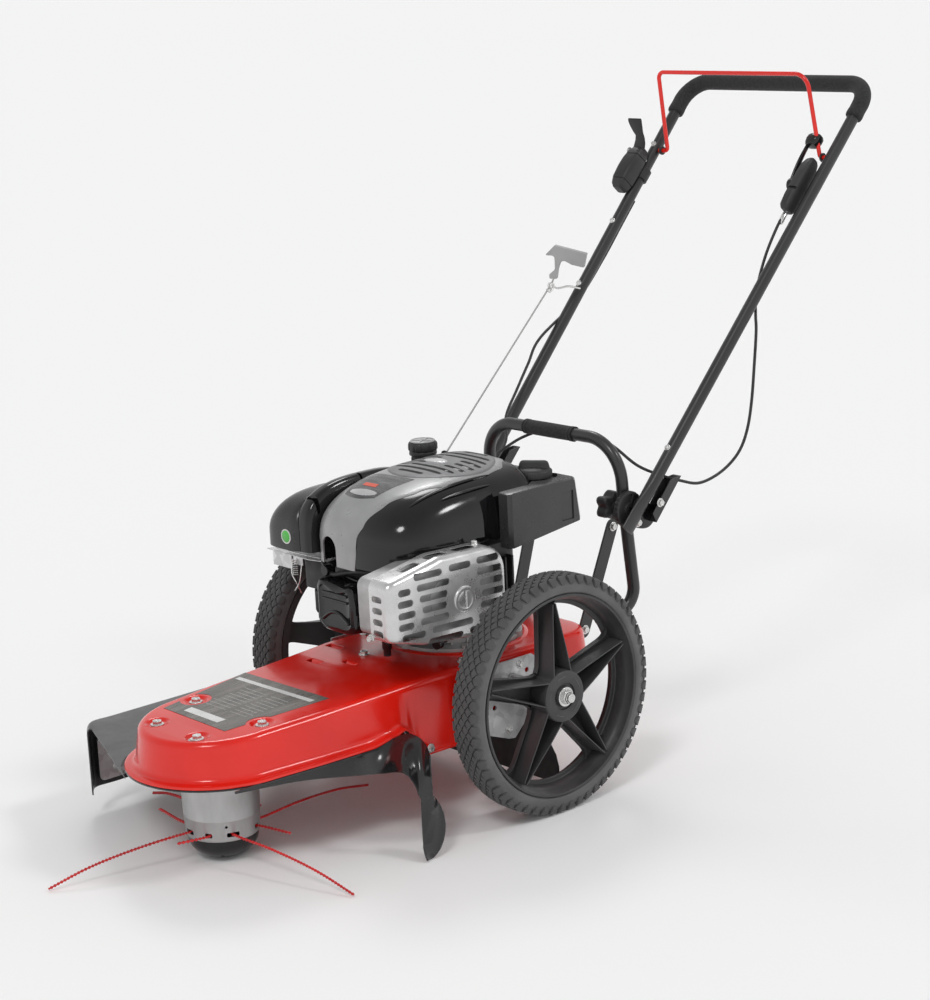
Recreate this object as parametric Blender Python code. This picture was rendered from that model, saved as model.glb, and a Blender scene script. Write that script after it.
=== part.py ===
"""Wheeled string trimmer (brush mower): two large wheels, a vertical-shaft engine on a pressed deck,
a belt-driven line head at the nose and a folding push handle.

Metres, +Z up.  The origin is on the ground, on the spindle axis of the line head.  The machine's nose
points to -Y, the operator stands at +Y and +X is the operator's right-hand side.
"""
import math

import bmesh
import bpy
from mathutils import Matrix, Vector

# ---------------------------------------------------------------- driving dimensions
GAP = 0.0003                      # clearance between touching pieces

WHEEL_RADIUS = 0.203              # 16 inch wheel
RIM_RADIUS = 0.171
HUB_RADIUS = 0.0436
SPOKES = 5
AXLE = Vector((0.0, 0.492, WHEEL_RADIUS))

CRANK = Vector((0.0, 0.519, 0.0))  # crankshaft axis
CRANK_PULLEY_RADIUS = 0.030
SPINDLE_PULLEY_RADIUS = 0.045
BELT_Z = 0.192

DECK_SHEET = 0.0025
DECK_TOP_AT_HEAD = 0.2335         # height of the deck top above the spindle
DECK_SLOPE = 0.040                # rise of the deck top towards the engine
DECK_LEVEL_FROM = 0.342           # the top is level behind this Y
DECK_REAR_Y = 0.712
NOSE_RADIUS = 0.128
NOSE_Y = 0.0045

LINE_RADIUS = 0.0020
DRUM_TOP_RADIUS, DRUM_BOTTOM_RADIUS = 0.064, 0.060
DRUM_TOP_Z, DRUM_BOTTOM_Z = 0.150, 0.040

TUBE_RADIUS = 0.011
TUBE_WALL = 0.0016
PIVOT = Vector((0.0, 0.766, 0.450))     # fold axis of the handle
HANDLE_ANGLE = math.radians(47.4)
HANDLE_FOOT = Vector((0.2045, 0.762, 0.4376))
HANDLE_CORNER = Vector((0.2220, 1.397, 1.1283))
HANDLE_BEND = 0.048

CARRY_X = 0.170
CARRY_TOP_Z = 0.567
STRUT_FOOT = Vector((0.0880, 0.7380, 0.205))
STRUT_KNEE = Vector((0.1010, 0.8160, 0.410))
BAIL_PIVOT = Vector((0.0, 1.284, 1.0052))
THROTTLE_LEVER_X = 0.1725

SPINDLE_BOLTS = [(0.0544, -0.074), (-0.0544, -0.074), (0.0894, 0.0275), (-0.0894, 0.0275)]
BELT_WINDOWS = [(-0.110, 0.350), (-0.082, 0.272), (-0.024, 0.300)]
IDLER_PIVOT = Vector((0.105, 0.150, 0.0))
SLOT_Z = 0.052                    # height of the line slots in the drum

GUARD_TOP_Z = 0.1592
GUARD_BOTTOM_Z = 0.040
GUARD_X = -0.330
GUARD_SHEET = 0.0025
FLAP_HINGE = Vector((0.0, 0.540, 0.118))
PLATE_X = 0.1664                  # inner face of the axle plates

ENGINE_FLOOR = 0.2480
FUEL_CAP = Vector((0.103, 0.626, 0.0))
DIPSTICK = Vector((-0.112, 0.562, 0.0))

COLOURS = {                       # base colour, roughness, metallic
    "deck_red": ((0.66, 0.012, 0.008), 0.25, 0.0),
    "black_metal": ((0.016, 0.016, 0.017), 0.35, 0.3),
    "black_plastic": ((0.012, 0.012, 0.013), 0.35, 0.0),
    "rubber": ((0.035, 0.035, 0.036), 0.8, 0.0),
    "wheel_plastic": ((0.05, 0.05, 0.052), 0.5, 0.0),
    "foam": ((0.04, 0.04, 0.041), 0.9, 0.0),
    "galvanised": ((0.55, 0.55, 0.56), 0.4, 0.9),
    "steel": ((0.42, 0.42, 0.43), 0.35, 0.9),
    "aluminium": ((0.62, 0.62, 0.63), 0.4, 0.9),
    "silver_paint": ((0.40, 0.40, 0.42), 0.35, 0.6),
    "grey_plastic": ((0.30, 0.30, 0.31), 0.5, 0.0),
    "line_red": ((0.65, 0.01, 0.02), 0.35, 0.0),
    "rope": ((0.6, 0.6, 0.6), 0.8, 0.0),
}


# ---------------------------------------------------------------- scene and mesh helpers
def clear_scene():
    for obj in list(bpy.data.objects):
        bpy.data.objects.remove(obj, do_unlink=True)


def material(name):
    if name in bpy.data.materials:
        return bpy.data.materials[name]
    colour, roughness, metallic = COLOURS[name]
    mat = bpy.data.materials.new(name)
    mat.use_nodes = True
    shader = mat.node_tree.nodes["Principled BSDF"]
    shader.inputs["Base Color"].default_value = (*colour, 1.0)
    shader.inputs["Roughness"].default_value = roughness
    shader.inputs["Metallic"].default_value = metallic
    return mat


def add_object(name, bm, mat=None, origin=(0.0, 0.0, 0.0), smooth_angle=35.0):
    """Turn a bmesh in world coordinates into an object whose origin lies at `origin`."""
    bmesh.ops.recalc_face_normals(bm, faces=bm.faces)
    bmesh.ops.translate(bm, verts=bm.verts, vec=-Vector(origin))
    mesh = bpy.data.meshes.new(name)
    bm.to_mesh(mesh)
    bm.free()
    mesh.shade_smooth()
    mesh.set_sharp_from_angle(angle=math.radians(smooth_angle))
    obj = bpy.data.objects.new(name, mesh)
    obj.location = origin
    bpy.context.collection.objects.link(obj)
    if mat:
        obj.data.materials.append(material(mat))
    return obj


def boolean(target, tools, operation="DIFFERENCE"):
    """Apply exact booleans to `target` and remove the tools."""
    for tool in tools:
        modifier = target.modifiers.new(tool.name, "BOOLEAN")
        modifier.operation = operation
        modifier.solver = "EXACT"
        modifier.object = tool
        tool.hide_render = True
        tool.display_type = "WIRE"
    bpy.context.view_layer.update()
    evaluated = target.evaluated_get(bpy.context.evaluated_depsgraph_get())
    mesh = bpy.data.meshes.new_from_object(evaluated)
    target.modifiers.clear()
    target.data = mesh
    for tool in tools:
        bpy.data.objects.remove(tool, do_unlink=True)
    return target


def frame_along(axis):
    """Two unit vectors square to `axis`."""
    axis = Vector(axis).normalized()
    side = Vector((0, 0, 1)) if abs(axis.z) < 0.9 else Vector((1, 0, 0))
    first = side.cross(axis).normalized()
    return axis, first, axis.cross(first)


def lathe(profile, centre=(0, 0, 0), axis=(0, 0, 1), segments=24, closed=False, phase=0.0):
    """Revolve (radius, distance) points about `axis`; a zero radius closes the end on the axis."""
    axis, first, second = frame_along(axis)
    bm = bmesh.new()
    rings = []
    for radius, along in profile:
        base = Vector(centre) + axis * along
        if radius == 0.0:
            rings.append([bm.verts.new(base)])
            continue
        ring = []
        for step in range(segments):
            turn = phase + 2 * math.pi * step / segments
            ring.append(bm.verts.new(base + (first * math.cos(turn) + second * math.sin(turn)) * radius))
        rings.append(ring)
    pairs = list(zip(rings, rings[1:]))
    if closed:
        pairs.append((rings[-1], rings[0]))
    for low, high in pairs:
        for step in range(segments):
            after = (step + 1) % segments
            corners = [low[step % len(low)], low[after % len(low)],
                       high[after % len(high)], high[step % len(high)]]
            bm.faces.new(list(dict.fromkeys(corners)))
    return bm


def prism(outline, low, high, axis="Z"):
    """Extrude a closed outline along a world axis.  X: (y, z); Y: (x, z); Z: (x, y)."""
    order = {"X": lambda u, v, w: (w, u, v), "Y": lambda u, v, w: (u, w, v), "Z": lambda u, v, w: (u, v, w)}
    place = order[axis]
    bm = bmesh.new()
    bottom = [bm.verts.new(place(u, v, low)) for u, v in outline]
    top = [bm.verts.new(place(u, v, high)) for u, v in outline]
    bm.faces.new(bottom)
    bm.faces.new(top)
    count = len(outline)
    for step in range(count):
        after = (step + 1) % count
        bm.faces.new((bottom[step], bottom[after], top[after], top[step]))
    return bm


def box(low, high):
    (x0, y0, z0), (x1, y1, z1) = low, high
    return prism([(x0, y0), (x1, y0), (x1, y1), (x0, y1)], z0, z1)


def loft(rings, capped=True):
    """Skin a list of rings with equal point counts."""
    bm = bmesh.new()
    made = [[bm.verts.new(point) for point in ring] for ring in rings]
    count = len(made[0])
    for low, high in zip(made, made[1:]):
        for step in range(count):
            after = (step + 1) % count
            bm.faces.new((low[step], low[after], high[after], high[step]))
    if capped:
        bm.faces.new(made[0])
        bm.faces.new(made[-1])
    return bm


def two_skins(outer, inner):
    """An open moulding: matching outer and inner rings, closed at their last ring, joined at the first."""
    bm = bmesh.new()
    skins = [[[bm.verts.new(point) for point in ring] for ring in rings] for rings in (outer, inner)]
    count = len(outer[0])
    for rings in skins:
        for low, high in zip(rings, rings[1:]):
            for step in range(count):
                after = (step + 1) % count
                bm.faces.new((low[step], low[after], high[after], high[step]))
        bm.faces.new(rings[-1])
    for step in range(count):
        after = (step + 1) % count
        bm.faces.new((skins[0][0][step], skins[0][0][after], skins[1][0][after], skins[1][0][step]))
    return bm


def open_cover(levels, wall, power, count):
    """Thin cover open underneath; levels are (z, x0, x1, y0, y1) of superelliptic outlines."""
    skins = []
    for inward in (0.0, wall):
        rings = []
        for index, (z, x0, x1, y0, y1) in enumerate(levels):
            height = z - inward * index / (len(levels) - 1)
            outline = superellipse((x0 + x1) / 2, (y0 + y1) / 2, (x1 - x0) / 2 - inward,
                                   (y1 - y0) / 2 - inward, power, count)
            rings.append([(x, y, height) for x, y in outline])
        skins.append(rings)
    return two_skins(*skins)


def superellipse(cx, cy, rx, ry, power, count=24):
    points = []
    for step in range(count):
        angle = 2 * math.pi * step / count
        c, s = math.cos(angle), math.sin(angle)
        points.append((cx + rx * math.copysign(abs(c) ** (2 / power), c),
                       cy + ry * math.copysign(abs(s) ** (2 / power), s)))
    return points


def tangents(points):
    result = []
    for index in range(len(points)):
        before = points[max(index - 1, 0)]
        after = points[min(index + 1, len(points) - 1)]
        result.append((after - before).normalized())
    return result


def sweep(points, section, up=(1, 0, 0)):
    """Carry a closed (side, up) section along a path."""
    points = [Vector(point) for point in points]
    rings = []
    normal = Vector(up)
    for point, along in zip(points, tangents(points)):
        normal = (normal - along * normal.dot(along)).normalized()
        side = along.cross(normal)
        rings.append([point + side * u + normal * v for u, v in section])
    return rings


def circle_section(radius, sides=12):
    return [(radius * math.cos(2 * math.pi * k / sides), radius * math.sin(2 * math.pi * k / sides))
            for k in range(sides)]


def bar_section(width, thickness):
    return [(-width / 2, -thickness / 2), (width / 2, -thickness / 2),
            (width / 2, thickness / 2), (-width / 2, thickness / 2)]


def pipe(points, radius, inner=0.0, sides=12, up=(1, 0, 0)):
    """A round rod, or a hollow tube open at both ends when `inner` is given."""
    outer = sweep(points, circle_section(radius, sides), up)
    if not inner:
        return loft(outer)
    bore = sweep(points, circle_section(inner, sides), up)
    return loft(outer + bore[::-1] + outer[:1], capped=False)


def merge_close(bm):
    bmesh.ops.remove_doubles(bm, verts=bm.verts, dist=1e-6)
    return bm


def rounded_path(corners, radius, steps=5):
    """A path through `corners` with each inner corner turned on an arc."""
    corners = [Vector(corner) for corner in corners]
    path = [corners[0]]
    for before, corner, after in zip(corners, corners[1:], corners[2:]):
        back = (before - corner).normalized()
        on = (after - corner).normalized()
        half = back.angle(on) / 2
        reach = radius / math.tan(half)
        middle = corner + (back + on).normalized() * (radius / math.sin(half))
        start = corner + back * reach - middle
        end = corner + on * reach - middle
        swing = start.angle(end)
        for step in range(steps + 1):
            part = swing * step / steps
            path.append(middle + (start * math.sin(swing - part) + end * math.sin(part)) / math.sin(swing))
    path.append(corners[-1])
    return path


def smooth_curve(route, spacing):
    """Points about `spacing` apart on a Catmull-Rom curve through the route."""
    route = [Vector(point) for point in route]
    padded = [route[0] * 2 - route[1]] + route + [route[-1] * 2 - route[-2]]
    curve = []
    for a, b, c, d in zip(padded, padded[1:], padded[2:], padded[3:]):
        steps = max(1, round((c - b).length / spacing))
        for step in range(steps):
            t = step / steps
            curve.append(0.5 * (2 * b + (c - a) * t + (2 * a - 5 * b + 4 * c - d) * t * t
                                + (3 * b - a - 3 * c + d) * t * t * t))
    curve.append(route[-1])
    return curve


def cord(name, route, radius, mat, spacing, origin=(0, 0, 0)):
    """A cable as a curve object with a round bevel and filled caps."""
    points = smooth_curve(route, spacing)
    curve = bpy.data.curves.new(name, "CURVE")
    curve.dimensions = "3D"
    curve.bevel_depth = radius
    curve.bevel_resolution = 2
    curve.use_fill_caps = True
    spline = curve.splines.new("POLY")
    spline.points.add(len(points) - 1)
    for target, point in zip(spline.points, points):
        target.co = (*(point - Vector(origin)), 1.0)
    curve.materials.append(material(mat))
    obj = bpy.data.objects.new(name, curve)
    obj.location = origin
    bpy.context.collection.objects.link(obj)
    return obj


def mirrored(bm):
    """The same mesh on the other side of the YZ plane."""
    bmesh.ops.scale(bm, verts=bm.verts, vec=(-1, 1, 1))
    return bm


def sided(bm, side):
    return bm if side > 0 else mirrored(bm)


def arc_points(centre, radius, start, end, steps):
    """Points on an arc, angles in degrees."""
    angles = [math.radians(start + (end - start) * k / steps) for k in range(steps + 1)]
    return [(centre[0] + radius * math.cos(a), centre[1] + radius * math.sin(a)) for a in angles]


SIDES = (("left", -1), ("right", 1))


# ---------------------------------------------------------------- deck and guards
def deck_top(y):
    return DECK_TOP_AT_HEAD + DECK_SLOPE * min(y, DECK_LEVEL_FROM)


def interpolate(table, value):
    for (x0, y0), (x1, y1) in zip(table, table[1:]):
        if value <= x1:
            return y0 + (y1 - y0) * max(0.0, (value - x0) / (x1 - x0))
    return table[-1][1]


RIM_HEIGHT = [(-0.2, 0.167), (0.19, 0.167), (0.235, 0.174), (0.258, 0.181), (0.272, 0.172),
              (0.286, 0.140), (0.300, 0.124), (0.56, 0.124), (0.62, 0.165), (0.73, 0.172)]
RIM_WIDTH = [(-0.2, 0.020), (0.258, 0.015), (0.30, 0.006), (0.73, 0.004)]
HALF_WIDTH = [(-0.2, NOSE_RADIUS), (NOSE_Y, NOSE_RADIUS), (0.092, 0.136), (0.342, 0.149), (0.62, 0.156)]
DECK_STATIONS = [0.05, 0.11, 0.19, 0.235, 0.258, 0.272, 0.286, 0.30, 0.342, 0.43, 0.52, 0.60]
DECK_DRAFT = 0.006


def deck_half_outline():
    """(x, y, outward normal) points of the deck's top edge, from the nose tip to the tail."""
    points = []
    for step in range(7):
        angle = math.radians(-90 + 15 * step)
        normal = (math.cos(angle), math.sin(angle))
        points.append((NOSE_RADIUS * normal[0], NOSE_Y + NOSE_RADIUS * normal[1], normal))
    for y in DECK_STATIONS:
        points.append((interpolate(HALF_WIDTH, y), y, (1.0, 0.0)))
    corner = 0.060
    width = interpolate(HALF_WIDTH, 0.62)
    for step in range(1, 5):
        angle = math.radians(22.5 * step)
        normal = (math.cos(angle), math.sin(angle))
        points.append((width - corner + corner * normal[0], DECK_REAR_Y - corner + corner * normal[1],
                       normal))
    return points


def deck_profile(y, inward):
    """(offset, height) points from the top edge down to the rim, moved inward for the inner skin."""
    top = deck_top(y) - inward
    rim = interpolate(RIM_HEIGHT, y)
    out = interpolate(RIM_WIDTH, y)
    return [(-0.011, top), (-inward, top - 0.010), (DECK_DRAFT - inward, rim + 0.006),
            (DECK_DRAFT + out * 0.35, rim - inward), (DECK_DRAFT + out, rim - 0.002 - inward)]


def deck_shell():
    bm = bmesh.new()
    half = deck_half_outline()
    whole = half + [(-x, y, (-nx, ny)) for x, y, (nx, ny) in half[:0:-1]]
    skins = []
    for inward in (0.0, DECK_SHEET):
        rings = []
        for x, y, (nx, ny) in whole:
            rings.append([bm.verts.new((x + nx * off, y + ny * off, z))
                          for off, z in deck_profile(y, inward)])
        skins.append(rings)
    count = len(whole)
    for rings in skins:
        for index in range(count):
            a, b = rings[index], rings[(index + 1) % count]
            for low, high in zip(range(4), range(1, 5)):
                bm.faces.new((a[low], b[low], b[high], a[high]))
        for index in range(1, len(half) - 1):
            a, b = rings[index][0], rings[index + 1][0]
            c, d = rings[-index - 1][0], rings[-index][0]
            bm.faces.new((a, b, c, d))
        bm.faces.new((rings[0][0], rings[1][0], rings[-1][0]))
    for index in range(count):
        after = (index + 1) % count
        bm.faces.new((skins[0][index][4], skins[0][after][4], skins[1][after][4], skins[1][index][4]))
    shell = add_object("deck_shell", bm, "deck_red")
    cutters = [lathe([(0, 0.20), (0.024, 0.20), (0.024, 0.28), (0, 0.28)], CRANK, segments=20)]
    for x, y in SPINDLE_BOLTS:
        bolt_hole = [(0, 0.20), (0.0045, 0.20), (0.0045, 0.28), (0, 0.28)]
        cutters.append(lathe(bolt_hole, (x, y, 0), segments=12))
    for x, y in BELT_WINDOWS:
        cutters.append(box((x - 0.022, y - 0.007, 0.20), (x + 0.022, y + 0.007, 0.28)))
    tools = [add_object(f"cut_{k}", cutter) for k, cutter in enumerate(cutters)]
    boolean(shell, tools)


def thick_sheet(grid, thickness):
    """Close a grid of points into a sheet `thickness` deep along its own normals."""
    rows, cols = len(grid), len(grid[0])
    grid = [[Vector(point) for point in row] for row in grid]
    bm = bmesh.new()
    front, back = [], []
    for r in range(rows):
        front.append([])
        back.append([])
        for c in range(cols):
            along = grid[min(r + 1, rows - 1)][c] - grid[max(r - 1, 0)][c]
            across = grid[r][min(c + 1, cols - 1)] - grid[r][max(c - 1, 0)]
            normal = along.cross(across).normalized()
            front[r].append(bm.verts.new(grid[r][c]))
            back[r].append(bm.verts.new(grid[r][c] + normal * thickness))
    for layer in (front, back):
        for r in range(rows - 1):
            for c in range(cols - 1):
                bm.faces.new((layer[r][c], layer[r][c + 1], layer[r + 1][c + 1], layer[r + 1][c]))
    rim = ([(0, c) for c in range(cols)] + [(r, cols - 1) for r in range(1, rows)]
           + [(rows - 1, c) for c in range(cols - 2, -1, -1)] + [(r, 0) for r in range(rows - 2, 0, -1)])
    for (r0, c0), (r1, c1) in zip(rim, rim[1:] + rim[:1]):
        bm.faces.new((front[r0][c0], front[r1][c1], back[r1][c1], back[r0][c0]))
    return bm


def side_guard():
    """Left guard: a flat wing under the deck rim that turns down into an outer skirt."""
    grid = []
    inner = [(-0.036, -0.1535), (-0.100, -0.118), (-0.138, -0.062), (-0.146, 0.02), (-0.148, 0.12),
             (-0.150, 0.225)]
    outer = [(GUARD_X + 0.030, -0.052), (GUARD_X, -0.028), (GUARD_X, 0.010), (GUARD_X, 0.060),
             (GUARD_X, 0.130), (GUARD_X, 0.225)]
    for (xi, yi), (xo, yo) in zip(inner, outer):
        grid.append([(xi, yi, GUARD_TOP_Z), ((xi + xo) / 2, (yi + yo) / 2, GUARD_TOP_Z),
                     (xo + 0.008, yo, GUARD_TOP_Z), (xo + 0.002, yo, GUARD_TOP_Z - 0.003),
                     (xo, yo, GUARD_TOP_Z - 0.010), (xo, yo, 0.100), (xo, yo, GUARD_BOTTOM_Z)])
    add_object("side_guard", thick_sheet(grid, GUARD_SHEET), "black_metal")


def line_cutter():
    """Bracket with a blade edge inside the front of the left skirt."""
    outline = [(-0.020, 0.052), (0.035, 0.052), (0.035, 0.130), (-0.014, 0.130)]
    blade = prism(outline, GUARD_X + GUARD_SHEET + GAP * 2, GUARD_X + 0.0060, "X")
    plate = add_object("line_cutter", blade, "galvanised")
    heads = []
    for z in (0.070, 0.091, 0.112):
        rivet = lathe([(0, -0.0005), (0.0035, -0.0005), (0.0035, 0.0015), (0.002, 0.0026), (0, 0.0026)],
                      (GUARD_X + 0.0060, 0.006, z), (1, 0, 0), 10)
        heads.append(add_object(f"rivet_{z}", rivet))
    boolean(plate, heads, "UNION")


def rear_guard():
    """Black debris guard: a skirt under the right rim, an arc wall behind the head and a hooked end."""
    wall_radius = 0.312
    grid = []
    bands = [(37.5, 0.329, 0.0005, 0.016), (38.5, 0.331, 0.0005, 0.062), (40.5, 0.330, 0.010, 0.102),
             (43.5, 0.325, 0.030, 0.130), (47.5, 0.318, 0.062, 0.150), (52.0, 0.314, 0.085, 0.158),
             (60.0, 0.314, 0.097, 0.158), (75.0, 0.318, 0.100, 0.158), (90.0, wall_radius, 0.100, 0.158),
             (105.0, wall_radius, 0.100, 0.158), (118.0, wall_radius, 0.100, 0.1535),
             (134.0, wall_radius, 0.100, 0.1535)]
    for angle, radius, low, high in bands:
        turn = math.radians(angle)
        flare = 0.030 if angle < 48 else 0.0
        row = []
        for part in (0.0, 0.34, 0.67, 1.0):
            z = low + (high - low) * part
            out = radius + flare * max(0.0, (0.06 - z) / 0.06) * (0.3 if angle < 39 else 1.0)
            row.append((out * math.cos(turn), out * math.sin(turn), z))
        row.append(((radius - 0.004) * math.cos(turn), (radius - 0.004) * math.sin(turn), high + 0.0025))
        reach = 0.045 if angle > 51 else 0.010
        row.append(((radius - reach) * math.cos(turn), (radius - reach) * math.sin(turn), high + 0.0025))
        grid.append(row)
    wall = add_object("rear_guard", thick_sheet(grid, -0.0025), "black_metal")
    skirt = []
    for x, y, low in ((0.143, -0.030, 0.158), (0.144, 0.056, 0.143), (0.148, 0.140, 0.126),
                      (0.152, 0.200, 0.112), (0.158, 0.246, 0.099), (0.184, 0.264, 0.098)):
        skirt.append([(x, y, low), (x, y, (low + 0.1605) / 2), (x, y, 0.1605)])
    boolean(wall, [add_object("skirt", thick_sheet(skirt, 0.0025))], "UNION")


def rear_flap():
    """Rubber flap hung behind the axle."""
    half = [(0.150, 0.118), (0.158, 0.095), (0.205, 0.088), (0.222, 0.050), (0.224, 0.020)]
    outline = half + [(-x, z) for x, z in half[::-1]]
    add_object("rear_flap", prism(outline, FLAP_HINGE.y - 0.002, FLAP_HINGE.y + 0.002, "Y"), "rubber",
               FLAP_HINGE)


# ---------------------------------------------------------------- axles and wheels
def axle_plate(name, side):
    outline = [(0.375, 0.150), (0.433, 0.122), (0.480, 0.104), (0.494, 0.102), (0.531, 0.137),
               (0.553, 0.215), (0.551, 0.232), (0.540, 0.240), (0.375, 0.242)]
    plate = add_object(name, sided(prism(outline, PLATE_X, PLATE_X + 0.003, "X"), side), "galvanised")
    holes = []
    for y, z, radius in ((AXLE.y, AXLE.z, 0.0085), (0.527, 0.215, 0.0045), (0.450, 0.166, 0.0045)):
        holes.append(add_object("hole", sided(lathe([(0, 0.15), (radius, 0.15), (radius, 0.19), (0, 0.19)],
                                                    (0, y, z), (1, 0, 0), 12), side)))
    boolean(plate, holes)


def axle_pin(name, side):
    """Stub axle: shoulder against the plate, wheel journal, end washer and nut."""
    pin = lathe([(0, 0.1700), (0.014, 0.1700), (0.014, 0.2180), (0.011, 0.2180), (0.011, 0.2315),
                 (0.0080, 0.2315), (0.0080, 0.2983), (0.0165, 0.2983), (0.0165, 0.3003), (0.0108, 0.3003),
                 (0.0108, 0.3095), (0.0080, 0.3095), (0.0080, 0.3140), (0, 0.3140)],
                (0, AXLE.y, AXLE.z), (1, 0, 0), 12)
    add_object(name, sided(pin, side), "galvanised")


def tyre(name, side):
    profile = [(0.1715, 0.2430), (0.1800, 0.2400), (0.1900, 0.2386), (0.1985, 0.2405), (0.2020, 0.2480),
               (0.2030, 0.2580), (0.2030, 0.2749), (0.2020, 0.2849), (0.1985, 0.2924), (0.1900, 0.2943),
               (0.1800, 0.2929), (0.1715, 0.2899)]
    profile += [(0.1715, 0.2850), (0.1900, 0.2870), (0.1960, 0.2780), (0.1960, 0.2550), (0.1900, 0.2460),
                (0.1715, 0.2480)]
    origin = (0, AXLE.y, AXLE.z)
    add_object(name, sided(lathe(profile, origin, (1, 0, 0), 32, closed=True, phase=math.pi / 2), side),
               "rubber", origin)


def rim(name, side):
    origin = (0, AXLE.y, AXLE.z)
    seat = RIM_RADIUS + 0.0002
    ring = [(0.1530, 0.2865), (0.1545, 0.2925), (seat, 0.2925), (seat, 0.2408), (0.1570, 0.2408),
            (0.1570, 0.2450), (0.1660, 0.2450), (0.1660, 0.2865)]
    band = lathe(ring, origin, (1, 0, 0), 32, closed=True, phase=math.pi / 2)
    wheel = add_object(name, sided(band, side), "wheel_plastic", origin)
    hub = add_object("hub", sided(lathe([(0.0083, 0.2320), (0.026, 0.2320), (0.030, 0.2450),
                                         (HUB_RADIUS, 0.2700), (HUB_RADIUS, 0.2980), (0.0083, 0.2980)],
                                        origin, (1, 0, 0), 20, closed=True), side))
    arms = []
    for index in range(SPOKES):
        rings = []
        turn = Matrix.Rotation(math.radians(2.4 + 360 * index / SPOKES), 4, "X")
        for radius, half, x0, x1 in ((0.030, 0.024, 0.2560, 0.2900), (0.1680, 0.015, 0.2540, 0.2860)):
            ring_points = [Vector((x0, -half, radius)), Vector((x0, half, radius)),
                           Vector((x1, half, radius)), Vector((x1, -half, radius))]
            rings.append([turn @ point + Vector(origin) for point in ring_points])
        arms.append(add_object(f"arm_{index}", sided(loft(rings), side)))
    boolean(wheel, [hub] + arms, "UNION")


# ---------------------------------------------------------------- belt drive and line head
def spindle_housing():
    z = 0.2262
    profile = [(0.0105, z), (0.103, z), (0.103, z - 0.006), (0.040, z - 0.008), (0.032, z - 0.012),
               (0.030, z - 0.022), (0.0105, z - 0.022)]
    housing = add_object("spindle_housing", lathe(profile, segments=24, closed=True), "aluminium")
    holes = [add_object("hole", lathe([(0, 0.19), (0.0043, 0.19), (0.0043, 0.25), (0, 0.25)], (x, y, 0),
                                      segments=10)) for x, y in SPINDLE_BOLTS]
    boolean(housing, holes)


def spindle_bolts():
    for index, (x, y) in enumerate(SPINDLE_BOLTS):
        seat = deck_top(y + 0.011) + GAP
        profile = [(0, 0.214), (0.0038, 0.214), (0.0038, seat), (0.0110, seat), (0.0110, seat + 0.0018),
                   (0.0075, seat + 0.0018), (0.0075, seat + 0.0075), (0, seat + 0.0075)]
        add_object(f"spindle_bolt_{index + 1}", lathe(profile, (x, y, 0), segments=6), "galvanised")


def head_parts():
    groove, edge = SPINDLE_PULLEY_RADIUS - 0.002, SPINDLE_PULLEY_RADIUS + 0.006
    shaft = [(0, 0.046), (0.0100, 0.046), (0.0100, 0.1525), (0.026, 0.1525), (0.026, 0.160),
             (0.0120, 0.166), (0.0120, 0.182), (edge, 0.183), (edge, 0.185), (groove, 0.1915),
             (edge, 0.198), (edge, 0.200), (0.0100, 0.201), (0.0100, 0.230), (0, 0.230)]
    add_object("spindle_shaft", lathe(shaft, segments=20), "steel")
    wall = 0.0025
    inner_top = DRUM_TOP_Z - 0.003
    cup = [(0.0103, DRUM_TOP_Z), (0.054, DRUM_TOP_Z + 0.002), (0.060, DRUM_TOP_Z),
           (DRUM_TOP_RADIUS, DRUM_TOP_Z - 0.008), (DRUM_BOTTOM_RADIUS, DRUM_BOTTOM_Z),
           (DRUM_BOTTOM_RADIUS - wall, DRUM_BOTTOM_Z),
           (DRUM_TOP_RADIUS - wall, inner_top - 0.006), (0.056, inner_top), (0.0103, inner_top)]
    drum = add_object("head_drum", lathe(cup, segments=28, closed=True), "steel")
    slots = []
    for angle in [a for line in LINES for a in (line["stub_exit"], line["long_exit"])]:
        turn = Matrix.Rotation(math.radians(angle), 4, "Z")
        cutter = box((0.045, -0.0055, SLOT_Z - 0.0035), (0.075, 0.0055, SLOT_Z + 0.0035))
        bmesh.ops.transform(cutter, matrix=turn, verts=cutter.verts)
        slots.append(add_object("slot", cutter))
    boolean(drum, slots)
    top = DRUM_BOTTOM_Z - GAP
    dome = [(0, 0.0), (0.014, 0.0), (0.030, 0.0035), (0.044, 0.011), (0.053, 0.021), (0.0572, 0.031),
            (0.0578, top), (0, top)]
    add_object("glide_dome", lathe(dome, segments=28), "black_plastic")
    for index, line in enumerate(LINES):
        trimmer_line(f"line_{index + 1}", line)


LINES = [                         # exits in degrees round the drum; tips of the short and long ends
    {"stub_exit": -58, "stub_tip": (0.0100, -0.0975, 0.047),
     "long_exit": -96, "long_tip": (-0.079, -0.255, 0.0045)},
    {"stub_exit": 28, "stub_tip": (0.110, 0.053, 0.046),
     "long_exit": -20, "long_tip": (0.285, 0.040, 0.0045)},
    {"stub_exit": 100, "stub_tip": (-0.030, 0.098, 0.046),
     "long_exit": 62, "long_tip": (-0.010, 0.279, 0.020)},
    {"stub_exit": -138, "stub_tip": (-0.139, -0.0274, 0.048),
     "long_exit": 168, "long_tip": (-0.277, 0.052, 0.020)},
]


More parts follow.
